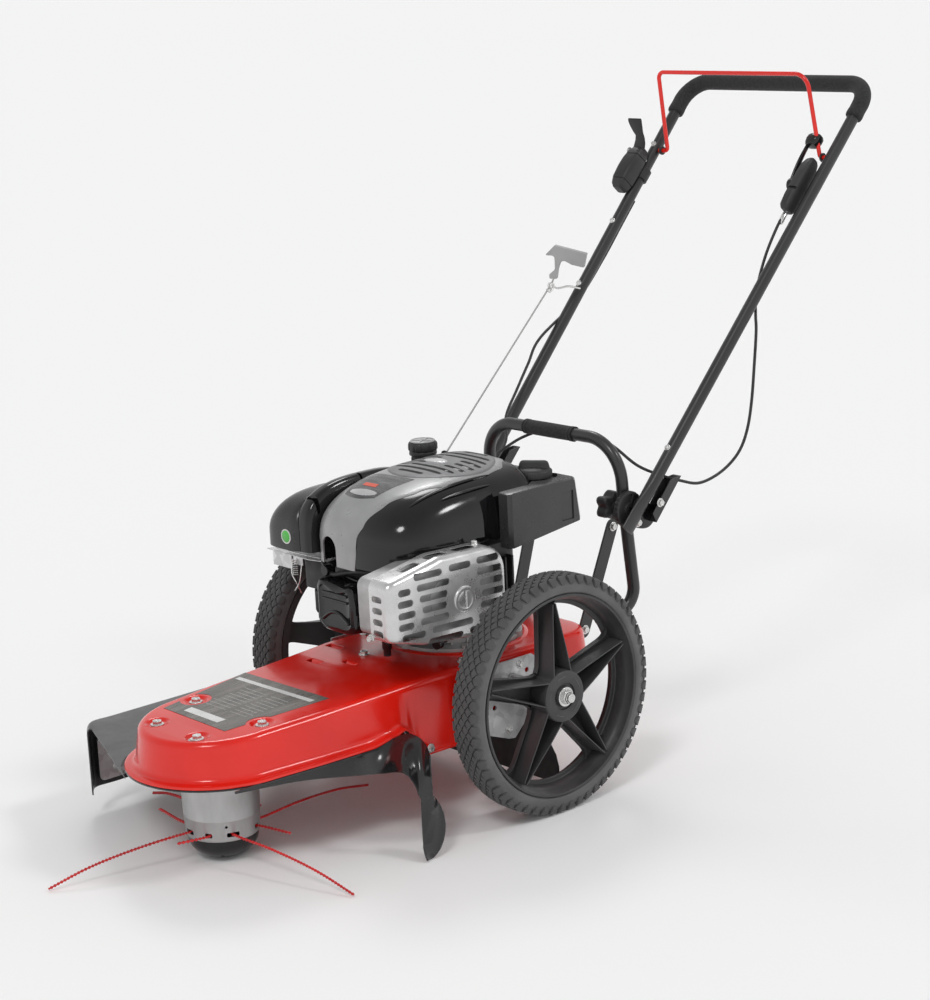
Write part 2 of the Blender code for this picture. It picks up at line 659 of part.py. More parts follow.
def trimmer_line(name, line):
    """One nylon line: short end, a turn inside the drum between two slots, long drooping end."""
    def at(angle, radius):
        turn = math.radians(angle)
        return Vector((radius * math.cos(turn), radius * math.sin(turn), SLOT_Z))
    stub, long_end = line["stub_exit"], line["long_exit"]
    middle = (stub + long_end) / 2
    if abs(stub - long_end) > 180:
        middle += 180
    span = (long_end - middle + 180) % 360 - 180
    tip = Vector(line["long_tip"])
    exit_point = at(long_end, 0.061)
    outward = (tip - exit_point)
    droop = Vector((0, 0, 0.010))
    route = [Vector(line["stub_tip"]), at(stub, 0.062), at(middle - span * 0.55, 0.040), at(middle, 0.031),
             at(middle + span * 0.55, 0.040), at(long_end, 0.062),
             exit_point + outward * 0.35 + droop * 0.75, exit_point + outward * 0.70 + droop * 0.85, tip]
    cord(name, route, LINE_RADIUS, "line_red", 0.012)


def crank_pulley():
    groove, edge = CRANK_PULLEY_RADIUS - 0.002, CRANK_PULLEY_RADIUS + 0.006
    profile = [(0, 0.180), (0.0125, 0.180), (edge, 0.183), (edge, 0.185), (groove, 0.1915),
               (edge, 0.198), (edge, 0.200), (0.0125, 0.200), (0.0125, 0.270), (0, 0.270)]
    add_object("crank_pulley", lathe(profile, CRANK, segments=24), "steel", CRANK)


def drive_belt():
    """Flat-lying loop of V-belt round the two pulleys, clear of both grooves by the gap."""
    outlines = []
    for extra in (0.0065, 0.0145):
        outline = arc_points((0, 0), SPINDLE_PULLEY_RADIUS + extra, 180, 360, 12)
        outline += arc_points((0, CRANK.y), CRANK_PULLEY_RADIUS + extra, 0, 180, 10)
        outlines.append(outline)
    inner, outer = outlines
    low, high = BELT_Z - 0.0045, BELT_Z + 0.0045
    rings = [[(x, y, z) for x, y in ring] for ring, z in
             ((outer, low), (outer, high), (inner, high), (inner, low), (outer, low))]
    add_object("drive_belt", merge_close(loft(rings, capped=False)), "rubber")


def idler_arm():
    """Belt tension arm with its roller."""
    strip = prism([(0.094, 0.140), (0.116, 0.140), (0.112, 0.240), (0.094, 0.240)], 0.205, 0.208)
    arm = add_object("idler_arm", strip, "galvanised", IDLER_PIVOT)
    boss = lathe([(0, 0.203), (0.010, 0.203), (0.010, 0.2255), (0, 0.2255)], IDLER_PIVOT, segments=12)
    roller = lathe([(0, 0.206), (0.008, 0.206), (0.008, 0.200), (0.021, 0.200), (0.021, 0.184), (0, 0.184)],
                   (0.103, 0.230, 0), segments=20)
    boolean(arm, [add_object("boss", boss), add_object("roller", roller)], "UNION")


# ---------------------------------------------------------------- engine
def engine_base():
    profile = [(0.0160, ENGINE_FLOOR), (0.116, ENGINE_FLOOR), (0.116, 0.256), (0.100, 0.260),
               (0.098, 0.2850), (0.0160, 0.2850)]
    add_object("engine_base", lathe(profile, CRANK, segments=28, closed=True), "aluminium")


def cylinder_block():
    """Finned block: crankcase above the base and a cylinder that points forward."""
    block = add_object("cylinder_block", box((-0.075, 0.430, 0.2853), (0.085, 0.596, 0.385)), "aluminium")
    fins = [add_object("barrel", box((-0.070, 0.330, 0.300), (0.005, 0.440, 0.380)))]
    for index in range(5):
        y = 0.340 + 0.016 * index
        fins.append(add_object("fin", box((-0.090, y, 0.2900), (0.045, y + 0.005, 0.398))))
    filler = lathe([(0, 0.380), (0.0180, 0.380), (0.0180, 0.5452), (0, 0.5452)], DIPSTICK, segments=16)
    elbow = box((-0.125, 0.548, 0.366), (-0.060, 0.576, 0.400))
    boolean(block, fins + [add_object("filler", filler), add_object("elbow", elbow)], "UNION")


def valve_cover():
    corners = [(-0.086, 0.300), (-0.040, 0.296), (0.010, 0.298), (0.014, 0.360), (0.010, 0.384),
               (-0.020, 0.381), (-0.050, 0.384), (-0.086, 0.388)]
    rings = []
    for y, scale in ((0.3290, 1.0), (0.292, 0.97), (0.285, 0.88)):
        rings.append([(-0.036 + (x + 0.036) * scale, y, 0.342 + (z - 0.342) * scale) for x, z in corners])
    add_object("valve_cover", loft(rings), "black_plastic")


# Corners of the muffler guard seen from its side: y, z and the radius of the arc that rounds the corner.
GUARD_CORNERS = [(0.214, 0.338, 0.014), (0.290, 0.317, 0.100), (0.410, 0.306, 0.060), (0.471, 0.311, 0.020),
                 (0.473, 0.452, 0.045), (0.330, 0.456, 0.060), (0.214, 0.434, 0.016)]


def rounded_outline(corners, steps):
    """Closed outline through (u, v, radius) corners, each turned into an arc."""
    outline = []
    for before, corner, after in zip(corners[-1:] + corners[:-1], corners, corners[1:] + corners[:1]):
        ends = [Vector((u, v, 0)) for u, v, _ in (before, corner, after)]
        outline += [(point.x, point.y) for point in rounded_path(ends, corner[2], steps)[1:-1]]
    return outline


def inset(outline, amount):
    """Move each point of a convex outline towards its centre by about `amount`."""
    cu = sum(u for u, v in outline) / len(outline)
    cv = sum(v for u, v in outline) / len(outline)
    result = []
    for u, v in outline:
        reach = math.hypot(u - cu, v - cv)
        result.append((cu + (u - cu) * (1 - amount / reach), cv + (v - cv) * (1 - amount / reach)))
    return result


def muffler_guard():
    """Pressed heat guard round the silencer, open towards the engine and slotted on its face."""
    def ring(outline, x):
        return [(x, u, v) for u, v in outline]
    outer = rounded_outline(GUARD_CORNERS, 1)
    inner = inset(outer, 0.0035)
    rings = [ring(inner, 0.146), ring(outer, 0.146), ring(outer, 0.186), ring(inset(outer, 0.007), 0.1925),
             ring(inset(inner, 0.007), 0.1900), ring(inner, 0.184), ring(inner, 0.146)]
    bm = bmesh.new()
    made = [[bm.verts.new(point) for point in points] for points in rings[:-1]]
    made.append(made[0])
    count = len(outer)
    for index, (low, high) in enumerate(zip(made, made[1:])):
        if index == 3:
            bm.faces.new(low)
            bm.faces.new(high)
            continue
        for step in range(count):
            after = (step + 1) % count
            bm.faces.new((low[step], low[after], high[after], high[step]))
    guard = add_object("muffler_guard", bm, "aluminium")
    slots = []
    for row in range(5):
        z = 0.343 + 0.020 * row
        for start, end in ((0.240, 0.300), (0.312, 0.345), (0.408, 0.452)):
            slots.append(add_object("slot", box((0.180, start, z - 0.0045), (0.200, end, z + 0.0045))))
    boolean(guard, slots)


def muffler():
    """Silencer box behind the guard, open where it meets the port."""
    side = rounded_outline(GUARD_CORNERS, 1)
    levels = [(x, inset(side, reach))
              for x, reach in ((0.1056, 0.014), (0.170, 0.014), (0.176, 0.022))]
    outer = [[(x, u, v) for u, v in outline] for x, outline in levels]
    inner = [[(x - (0.003 if index == 2 else 0), u, v) for u, v in inset(outline, 0.003)]
             for index, (x, outline) in enumerate(levels)]
    add_object("muffler", two_skins(outer, inner), "steel")


def blower_cover():
    """Black shroud over the flywheel, open underneath."""
    levels = [(0.4475, -0.093, 0.143, 0.3010, 0.5850), (0.4800, -0.093, 0.143, 0.3010, 0.5860),
              (0.5050, -0.090, 0.134, 0.3240, 0.5800), (0.5240, -0.090, 0.114, 0.3700, 0.5700),
              (0.5380, -0.086, 0.094, 0.4100, 0.5700)]
    add_object("blower_cover", open_cover(levels, 0.004, 3.4, 24), "black_plastic")


def engine_band():
    """Silver panel: up the front and over the top, ending in the round intake grille."""
    rows = [(0.286, 0.415, -0.093, 0.029), (0.287, 0.470, -0.092, 0.034), (0.300, 0.500, -0.092, 0.042),
            (0.330, 0.522, -0.094, 0.056), (0.380, 0.539, -0.096, 0.078), (0.430, 0.548, -0.098, 0.094),
            (0.500, 0.553, -0.101, 0.102), (0.560, 0.554, -0.086, 0.092), (0.600, 0.552, -0.050, 0.060)]
    grid = []
    for y, z, left, right in rows:
        row = []
        for part in (0.0, 0.1, 0.5, 0.9, 1.0):
            edge = abs(part - 0.5) * 2
            row.append((left + (right - left) * part, y, z - 0.004 * edge ** 3))
        grid.append(row)
    add_object("engine_band", thick_sheet(grid, 0.003), "silver_paint")


def air_filter_cover():
    """Domed cover on the left of the engine, open underneath."""
    levels = [(0.4250, -0.205, -0.1050, 0.285, 0.470), (0.4350, -0.212, -0.1050, 0.278, 0.478),
              (0.4700, -0.208, -0.1050, 0.278, 0.480), (0.4950, -0.196, -0.1050, 0.288, 0.474),
              (0.5060, -0.178, -0.1050, 0.304, 0.460)]
    add_object("air_filter_cover", open_cover(levels, 0.003, 5.0, 20), "black_plastic")


def fuel_tank():
    """Tank along the rear right of the engine with a recessed filler."""
    outline = [(0.166, 0.502), (0.172, 0.508), (0.172, 0.655), (0.160, 0.667), (-0.060, 0.667),
               (-0.080, 0.650), (-0.080, 0.604), (0.095, 0.597), (0.136, 0.586), (0.148, 0.560),
               (0.148, 0.502)]
    tank = add_object("fuel_tank", prism(outline, 0.437, 0.515), "black_plastic")
    neck = lathe([(0, 0.450), (0.016, 0.450), (0.016, 0.522), (0, 0.522)], FUEL_CAP, segments=14)
    boolean(tank, [add_object("neck", neck)], "UNION")


def fuel_cap():
    profile = [(0, 0.5225), (0.031, 0.5225), (0.031, 0.535), (0.026, 0.538), (0, 0.538)]
    cap = add_object("fuel_cap", lathe(profile, FUEL_CAP, segments=20), "black_plastic", FUEL_CAP)
    reach = Vector((0.026, 0.008, 0.0))
    wing = box(FUEL_CAP - reach + Vector((0, 0, 0.530)), FUEL_CAP + reach + Vector((0, 0, 0.551)))
    boolean(cap, [add_object("wing", wing)], "UNION")


def dipstick():
    profile = [(0, 0.5455), (0.0245, 0.5455), (0.0260, 0.556), (0.0260, 0.566), (0.0230, 0.5725),
               (0, 0.5725)]
    add_object("oil_cap", lathe(profile, DIPSTICK, segments=20), "black_plastic", DIPSTICK)


def carburettor():
    body = add_object("carburettor", box((-0.180, 0.330, 0.340), (-0.1060, 0.390, 0.4240)), "aluminium")
    plate = box((-0.235, 0.318, 0.4020), (-0.110, 0.350, 0.4045))
    lever = box((-0.215, 0.322, 0.3760), (-0.150, 0.3245, 0.4030))
    boolean(body, [add_object("plate", plate), add_object("lever", lever)], "UNION")


# ---------------------------------------------------------------- rear frame
def strut(name, side):
    bar = loft(sweep([STRUT_FOOT, STRUT_KNEE], bar_section(0.027, 0.004), up=(1, 0, 0)))
    add_object(name, sided(bar, side), "black_metal")


def carry_handle():
    """Front-opening hoop: two legs bent forward at the deck and a crossbar over the engine."""
    half = [(0.1550, 0.7120, 0.2600), (CARRY_X, 0.7950, 0.2600), (CARRY_X, 0.7660, 0.5150),
            (0.1650, 0.7660, CARRY_TOP_Z)]
    corners = [Vector(p) for p in half] + [Vector((-x, y, z)) for x, y, z in half[::-1]]
    path = rounded_path(corners, 0.042, 3)
    tube = merge_close(pipe(path, TUBE_RADIUS, TUBE_RADIUS - TUBE_WALL, 10))
    add_object("carry_handle", tube, "black_metal")


def carry_grip():
    profile = [(TUBE_RADIUS + GAP, -0.062), (0.0136, -0.062), (0.0130, -0.056), (0.0130, 0.056),
               (0.0136, 0.062), (TUBE_RADIUS + GAP, 0.062)]
    sleeve = lathe(profile, (0, 0.766, CARRY_TOP_Z), (1, 0, 0), 16, closed=True)
    add_object("carry_grip", sleeve, "foam")


def height_adjuster(name, side):
    """Toothed disc beside the carry handle leg, with an arm to the channel behind the tube's foot."""
    disc = [(0.0045, 0.1815), (0.030, 0.1815), (0.032, 0.1835), (0.032, 0.1905), (0.030, 0.1922),
            (0.0045, 0.1922)]
    adjuster = add_object(name, sided(lathe(disc, PIVOT, (1, 0, 0), 20, closed=True), side),
                          "black_plastic", PIVOT)
    lug = [(0.776, 0.426), (0.800, 0.412), (0.820, 0.424), (0.826, 0.442), (0.812, 0.448), (0.790, 0.442)]
    arm = add_object("arm", sided(prism(lug, 0.1850, 0.1990, "X"), side))
    section = [(-0.010, -0.009), (0.010, -0.009), (0.010, 0.009), (0.0075, 0.009), (0.0075, -0.0065),
               (-0.0075, -0.0065), (-0.0075, 0.009), (-0.010, 0.009)]
    start = Vector((0.2050, 0.800, 0.428))
    channel = loft(sweep([start, start + UP_TUBE * 0.080], section, up=OFF_TUBE))
    boolean(adjuster, [arm, add_object("channel", sided(channel, side))], "UNION")


def knob(name, side):
    """Lobed hand knob on the inner end of the pivot bolt."""
    centre = (0, PIVOT.y, PIVOT.z)
    lobes, count = 5, 30
    rings = []
    for x, scale in ((0.1560, 0.80), (0.1500, 1.0), (0.1340, 1.0), (0.1280, 0.82)):
        ring = []
        for step in range(count):
            angle = 2 * math.pi * step / count
            radius = scale * (0.0225 + 0.0045 * math.cos(lobes * angle))
            ring.append((x, PIVOT.y + radius * math.cos(angle), PIVOT.z + radius * math.sin(angle)))
        rings.append(ring)
    add_object(name, sided(loft(rings), side), "black_plastic", centre)


# ---------------------------------------------------------------- push handle and controls
def handle_axis_point(distance, side=1):
    """A point on the handle tube's centre line, `distance` up from its foot."""
    along = (HANDLE_CORNER - HANDLE_FOOT).normalized()
    point = HANDLE_FOOT + along * distance
    return Vector((point.x * side, point.y, point.z))


UP_TUBE = Vector((0, math.cos(HANDLE_ANGLE), math.sin(HANDLE_ANGLE)))
OFF_TUBE = Vector((0, -math.sin(HANDLE_ANGLE), math.cos(HANDLE_ANGLE)))


def handle_corners():
    right = [HANDLE_FOOT, HANDLE_CORNER]
    return right + [Vector((-p.x, p.y, p.z)) for p in right[::-1]]


def upper_handle():
    path = rounded_path(handle_corners(), HANDLE_BEND, 6)
    tube = merge_close(pipe(path, TUBE_RADIUS, TUBE_RADIUS - TUBE_WALL, 10))
    add_object("upper_handle", tube, "black_metal", PIVOT)


def foam_grip():
    start = handle_axis_point(0.862)
    corners = handle_corners()
    corners[0], corners[-1] = start, Vector((-start.x, start.y, start.z))
    path = rounded_path(corners, HANDLE_BEND, 6)
    grip = merge_close(pipe(path, 0.0155, TUBE_RADIUS + GAP * 2, 10))
    add_object("foam_grip", grip, "foam", PIVOT)


def bail():
    right = [BAIL_PIVOT + Vector((0.2076, 0, 0)), BAIL_PIVOT + Vector((0.1930, 0, 0)),
             Vector((0.1805, 1.269, 1.148))]
    corners = right + [Vector((-p.x, p.y, p.z)) for p in right[::-1]]
    path = rounded_path(corners, 0.010, 3)
    add_object("bail", pipe(path, 0.004, sides=8, up=(0, 1, 0)), "deck_red", BAIL_PIVOT)


def tube_block(side, distance, length, across, offset, x_range, name, mat, origin, taper=1.0):
    """A block aligned with the tube: `offset` is (low, high) off the tube axis towards the front."""
    centre = handle_axis_point(distance, side)
    rings = []
    for part, scale in ((-0.5, taper), (-0.3, 1.0), (0.3, 1.0), (0.5, taper)):
        base = centre + UP_TUBE * length * part
        middle = (offset[0] + offset[1]) / 2
        ring = []
        for x, off in ((x_range[0], offset[0]), (x_range[1], offset[0]), (x_range[1], offset[1]),
                       (x_range[0], offset[1])):
            point = base + OFF_TUBE * (middle + (off - middle) * scale)
            point.x = (x - across) * scale + across
            ring.append(point)
        rings.append(ring)
    return add_object(name, loft(rings), mat, origin)


CLUTCH_AT, CLUTCH_LENGTH = 0.712, 0.104       # distance up the tube, and length of the housing
THROTTLE_AT, THROTTLE_LENGTH = 0.700, 0.116
CLUTCH_PIVOT = handle_axis_point(CLUTCH_AT + 0.030, -1) + OFF_TUBE * 0.036
THROTTLE_PIVOT = handle_axis_point(THROTTLE_AT, 1) + OFF_TUBE * 0.012


def clutch_control():
    """Left control: housing clamped in front of the tube and a broad paddle."""
    tube_block(-1, CLUTCH_AT, CLUTCH_LENGTH, -0.226, (0.0118, 0.056), (-0.247, -0.205), "clutch_housing",
               "black_plastic", PIVOT, 0.6)
    side_x = (-0.2525, -0.2478)
    tail = CLUTCH_PIVOT - UP_TUBE * 0.007 - OFF_TUBE * 0.003
    head = CLUTCH_PIVOT + UP_TUBE * 0.046 + OFF_TUBE * 0.030
    arm_path = [Vector((sum(side_x) / 2, point.y, point.z)) for point in (tail, head)]
    arm = loft(sweep(arm_path, bar_section(0.014, side_x[1] - side_x[0]), up=(1, 0, 0)))
    rings = []
    for up, off, x0, x1, deep in ((0.036, 0.020, side_x[0], -0.217, 0.0040),
                                  (0.044, 0.034, side_x[0], -0.213, 0.0040),
                                  (0.052, 0.046, -0.2470, -0.213, 0.0030)):
        point = CLUTCH_PIVOT + UP_TUBE * up + OFF_TUBE * off
        low, high = point - UP_TUBE * deep, point + UP_TUBE * deep
        rings.append([(x0, low.y, low.z), (x1, low.y, low.z), (x1, high.y, high.z), (x0, high.y, high.z)])
    blade = add_object("clutch_lever", loft(rings), "black_plastic", CLUTCH_PIVOT)
    boolean(blade, [add_object("arm", arm)], "UNION")


def throttle_control():
    """Right control: housing on the inner side of the tube and a lever with a knob."""
    tube_block(1, THROTTLE_AT, THROTTLE_LENGTH, 0.194, (-0.006, 0.028), (0.180, 0.2020), "throttle_housing",
               "black_plastic", PIVOT, 0.65)
    start = THROTTLE_PIVOT + UP_TUBE * 0.010
    start.x = THROTTLE_LEVER_X
    end = handle_axis_point(THROTTLE_AT + 0.092, 1) + OFF_TUBE * 0.021
    end.x = THROTTLE_LEVER_X
    path = [start, start.lerp(end, 0.5), end]
    strip = loft(sweep(path, bar_section(0.009, 0.005), up=(1, 0, 0)))
    arm = add_object("throttle_lever", strip, "black_plastic", THROTTLE_PIVOT)
    profile = [(0, -0.012), (0.009, -0.011), (0.011, -0.003), (0.011, 0.006), (0.007, 0.012), (0, 0.012)]
    boolean(arm, [add_object("ball", lathe(profile, end, UP_TUBE, 12))], "UNION")


ROPE_EXIT = Vector((-0.075, 0.600, 0.5650))
ROPE_EYE = Vector((-0.190, 0.964, 0.7880))
STARTER_PULL = Vector((0.20, 0.35, 0.915)).normalized()


def starter():
    grip_centre = Vector((-0.168, 0.990, 0.838))
    bar = [grip_centre + Vector((dx, 0, dz)) for dx, dz in
           ((-0.046, -0.004), (-0.040, 0.0), (0.0, 0.003), (0.040, 0.0), (0.046, -0.004))]
    handle = loft(sweep(bar, circle_section(0.0085, 10), up=(0, 0, 1)))
    grip = add_object("starter_grip", handle, "grey_plastic", grip_centre)
    foot = ROPE_EYE + Vector((0.003, 0.004, 0.010))
    stem = loft(sweep([grip_centre, foot.lerp(grip_centre, 0.4), foot], circle_section(0.007, 8)))
    boolean(grip, [add_object("stem", stem)], "UNION")
    cord("starter_rope", [ROPE_EXIT, ROPE_EXIT.lerp(ROPE_EYE, 0.5), ROPE_EYE], 0.0016, "rope", 0.02)
    base = handle_axis_point(0.452, -1)
    hook_path = [Vector((-0.2010, base.y, base.z)) + OFF_TUBE * 0.0125, Vector((-0.2000, 1.030, 0.790)),
                 Vector((-0.1960, 0.985, 0.778)), Vector((-0.1950, 0.962, 0.781))]
    wire = loft(sweep(smooth_curve(hook_path, 0.02), circle_section(0.0025, 6), up=(0, 0, 1)))
    add_object("rope_guide", wire, "galvanised", PIVOT)


CABLE_RIGHT = [(0.1930, 1.1650, 0.8960), (0.1920, 1.1310, 0.8450), (0.1980, 1.0980, 0.7860),
               (0.2160, 1.0740, 0.7480), (0.2360, 1.0520, 0.7260), (0.2400, 1.0410, 0.6700),
               (0.2400, 1.0310, 0.6000), (0.2390, 1.0180, 0.5500), (0.2370, 0.9960, 0.5140),
               (0.2340, 0.9550, 0.4880),
               (0.2280, 0.9050, 0.4800), (0.2150, 0.8690, 0.4930), (0.1900, 0.8430, 0.5050),
               (0.1600, 0.8180, 0.5240), (0.1100, 0.8050, 0.5480), (0.0500, 0.8000, 0.5620),
               (-0.0200, 0.7950, 0.5630), (-0.0750, 0.7700, 0.5450), (-0.0950, 0.7200, 0.5200)]
CABLE_LEFT = [(-0.2260, 1.1750, 0.9150), (-0.2240, 1.1000, 0.8440), (-0.2210, 1.0250, 0.7620),
              (-0.2120, 0.9500, 0.6860), (-0.2040, 0.9090, 0.6440), (-0.1950, 0.8690, 0.6020),
              (-0.1850, 0.8300, 0.5600), (-0.1500, 0.7950, 0.5250), (-0.1200, 0.7400, 0.5000),
              (-0.1000, 0.7000, 0.4800)]


def cables():
    cord("cable_right", CABLE_RIGHT, 0.0027, "black_plastic", 0.020)
    cord("cable_left", CABLE_LEFT, 0.0027, "black_plastic", 0.020)


def build():
    clear_scene()
    deck_shell()
    side_guard()
    line_cutter()
    rear_guard()
    rear_flap()
    for word, side in SIDES:
        axle_plate(f"axle_plate_{word}", side)
        axle_pin(f"axle_pin_{word}", side)
        tyre(f"tyre_{word}", side)
        rim(f"rim_{word}", side)
        strut(f"strut_{word}", side)
        knob(f"knob_{word}", side)
        height_adjuster(f"height_adjuster_{word}", side)
    spindle_housing()
    spindle_bolts()
    head_parts()
    crank_pulley()
    drive_belt()
    idler_arm()
    engine_base()
    cylinder_block()
    valve_cover()
    muffler_guard()
    muffler()
    blower_cover()
    engine_band()
    air_filter_cover()
    fuel_tank()
    fuel_cap()
    dipstick()
    carburettor()
    carry_handle()
    carry_grip()
    upper_handle()
    foam_grip()
    bail()
    clutch_control()
    throttle_control()
    starter()
    cables()


build()
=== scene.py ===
"""Looks of the wheeled string trimmer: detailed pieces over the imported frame, in metres, +Z up."""
import math

import bmesh
import bpy
from mathutils import Matrix, Vector


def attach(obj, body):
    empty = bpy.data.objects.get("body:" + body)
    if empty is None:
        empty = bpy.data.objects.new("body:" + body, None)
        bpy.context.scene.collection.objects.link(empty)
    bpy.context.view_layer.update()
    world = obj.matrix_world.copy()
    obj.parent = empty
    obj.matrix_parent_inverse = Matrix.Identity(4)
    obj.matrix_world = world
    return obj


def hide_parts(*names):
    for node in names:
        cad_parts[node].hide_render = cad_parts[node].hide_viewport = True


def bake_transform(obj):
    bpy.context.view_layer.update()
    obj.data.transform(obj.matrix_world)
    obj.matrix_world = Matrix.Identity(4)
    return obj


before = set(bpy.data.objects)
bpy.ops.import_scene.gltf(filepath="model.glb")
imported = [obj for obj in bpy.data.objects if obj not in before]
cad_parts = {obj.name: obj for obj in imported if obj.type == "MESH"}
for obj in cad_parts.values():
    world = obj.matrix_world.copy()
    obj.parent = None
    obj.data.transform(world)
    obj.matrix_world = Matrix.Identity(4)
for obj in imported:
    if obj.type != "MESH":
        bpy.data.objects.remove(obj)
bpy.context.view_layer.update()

# ---------------------------------------------------------------- places shared with the frame
AXLE = Vector((0.0, 0.492, 0.203))
CRANK = Vector((0.0, 0.519, 0.0))
PIVOT = Vector((0.0, 0.766, 0.45))
BAIL_Y, BAIL_Z = 1.284, 1.0052
FUEL_CAP = Vector((0.103, 0.626, 0.0))
DIPSTICK = Vector((-0.112, 0.562, 0.0))
HANDLE_ANGLE = math.radians(47.4)
HANDLE_FOOT = Vector((0.2045, 0.762, 0.4376))
HANDLE_CORNER = Vector((0.222, 1.397, 1.1283))
UP_TUBE = Vector((0, math.cos(HANDLE_ANGLE), math.sin(HANDLE_ANGLE)))
OFF_TUBE = Vector((0, -math.sin(HANDLE_ANGLE), math.cos(HANDLE_ANGLE)))
TUBE = 0.011
SIDES = (("left", -1), ("right", 1))
DECK_BOLTS = [(0.0544, -0.074), (-0.0544, -0.074), (0.0894, 0.0275), (-0.0894, 0.0275)]


# ---------------------------------------------------------------- materials
class Shader:
    """A Principled material built from object-space noise: colour drift, roughness drift and fine bump."""

    def __init__(self, name, slot, roughness, metallic=0.0, coat=0.0, coat_roughness=0.05, sheen=0.0):
        self.material = bpy.data.materials.new(name)
        self.material.use_nodes = True
        self.slot = slot
        self.tree = self.material.node_tree
        self.bsdf = self.tree.nodes["Principled BSDF"]
        self.coords = self.tree.nodes.new("ShaderNodeTexCoord").outputs["Object"]
        self.set("Roughness", roughness)
        self.set("Metallic", metallic)
        self.set("Coat Weight", coat)
        self.set("Coat Roughness", coat_roughness)
        self.set("Sheen Weight", sheen)

    def set(self, socket, value):
        self.bsdf.inputs[socket].default_value = value

    def link(self, output, socket):
        self.tree.links.new(output, socket)

    def noise(self, scale, detail=3.0, stretch=None, distortion=0.0):
        coords = self.coords
        if stretch:
            mapping = self.tree.nodes.new("ShaderNodeMapping")
            mapping.inputs["Scale"].default_value = stretch
            self.link(coords, mapping.inputs["Vector"])
            coords = mapping.outputs["Vector"]
        node = self.tree.nodes.new("ShaderNodeTexNoise")
        node.inputs["Scale"].default_value = scale
        node.inputs["Detail"].default_value = detail
        node.inputs["Distortion"].default_value = distortion
        self.link(coords, node.inputs["Vector"])
        return node.outputs["Fac"]

    def cells(self, scale, feature="F1"):
        node = self.tree.nodes.new("ShaderNodeTexVoronoi")
        node.feature = feature
        node.inputs["Scale"].default_value = scale
        self.link(self.coords, node.inputs["Vector"])
        return node.outputs["Distance"] if feature != "F1" else node.outputs["Color"]

    def remap(self, value, low, high, to_low, to_high):
        node = self.tree.nodes.new("ShaderNodeMapRange")
        for socket, number in zip(("From Min", "From Max", "To Min", "To Max"),
                                  (low, high, to_low, to_high)):
            node.inputs[socket].default_value = number
        self.link(value, node.inputs["Value"])
        return node.outputs["Result"]

    def blend(self, factor, first, second):
        node = self.tree.nodes.new("ShaderNodeMix")
        node.data_type = "RGBA"
        self.link(factor, node.inputs["Factor"])
        for socket, value in ((node.inputs["A"], first), (node.inputs["B"], second)):
            if isinstance(value, tuple):
                socket.default_value = (*value, 1.0)
            else:
                self.link(value, socket)
        return node.outputs["Result"]

    def colour(self, first, second, factor, low=0.35, high=0.65):
        result = self.blend(self.remap(factor, low, high, 0.0, 1.0), first, second)
        self.link(result, self.bsdf.inputs["Base Color"])
        return result

    # Lightens convex edges (found by pointiness) towards the tint: a painted highlight along the edges.
    def painted_edge_highlight(self, base, highlight_tint, amount, low=0.53, high=0.62):
        point = self.tree.nodes.new("ShaderNodeNewGeometry").outputs["Pointiness"]
        self.link(self.blend(self.remap(point, low, high, 0.0, amount), base, highlight_tint),
                  self.bsdf.inputs["Base Color"])

    def rough(self, factor, low, high):
        self.link(self.remap(factor, 0.3, 0.7, low, high), self.bsdf.inputs["Roughness"])

    def bump(self, height, strength, distance=0.001):
        node = self.tree.nodes.new("ShaderNodeBump")
        node.inputs["Strength"].default_value = strength
        node.inputs["Distance"].default_value = distance
        self.link(height, node.inputs["Height"])
        self.link(node.outputs["Normal"], self.bsdf.inputs["Normal"])


# edge sets the strength of the painted highlight lightening convex edges.
def paint(name, slot, dark, light, rough_low, rough_high, peel=0.05, coat=0.0, edge=0.0,
          highlight_tint=(0.3, 0.3, 0.3)):
    shader = Shader(name, slot, rough_low, coat=coat)
    base = shader.colour(dark, light, shader.noise(6.0, 4.0))
    if edge:
        shader.painted_edge_highlight(base, highlight_tint, edge)
    shader.rough(shader.noise(28.0, 5.0), rough_low, rough_high)
    shader.bump(shader.noise(420.0, 2.0), peel, 0.0004)
    return shader


# edge sets the strength of the painted highlight lightening convex edges.
def plastic(name, slot, dark, light, rough_low, rough_high, grain=900.0, bump=0.12, coat=0.0, sheen=0.0,
            edge=0.1, highlight_tint=(0.16, 0.16, 0.16)):
    shader = Shader(name, slot, rough_low, coat=coat, sheen=sheen)
    base = shader.colour(dark, light, shader.noise(14.0, 4.0))
    shader.painted_edge_highlight(base, highlight_tint, edge)
    shader.rough(shader.noise(45.0, 4.0), rough_low, rough_high)
    shader.bump(shader.noise(grain, 2.0), bump, 0.0003)
    return shader


def metal(name, slot, dark, light, rough_low, rough_high, metallic=0.9, stretch=None, grain=160.0,
          bump=0.08, cells=0.0):
    shader = Shader(name, slot, rough_low, metallic)
    factor = shader.cells(cells) if cells else shader.noise(18.0, 6.0, stretch)
    if cells:
        shader.link(shader.blend(factor, dark, light), shader.bsdf.inputs["Base Color"])
    else:
        shader.colour(dark, light, factor)
    shader.rough(shader.noise(60.0, 5.0, stretch), rough_low, rough_high)
    shader.bump(shader.noise(grain, 4.0, stretch), bump, 0.0004)
    return shader


def foam_shader():
    shader = Shader("foam_rubber", "foam", 0.85, sheen=0.06)
    shader.colour((0.012, 0.012, 0.013), (0.024, 0.024, 0.025), shader.noise(220.0, 5.0))
    shader.bump(shader.noise(1400.0, 3.0), 0.55, 0.0006)
    return shader


def rope_shader():
    shader = Shader("rope_braid", "rope", 0.85)
    shader.colour((0.22, 0.22, 0.22), (0.52, 0.52, 0.51), shader.noise(700.0, 3.0))
    shader.bump(shader.noise(1800.0, 2.0), 0.6, 0.0005)
    return shader
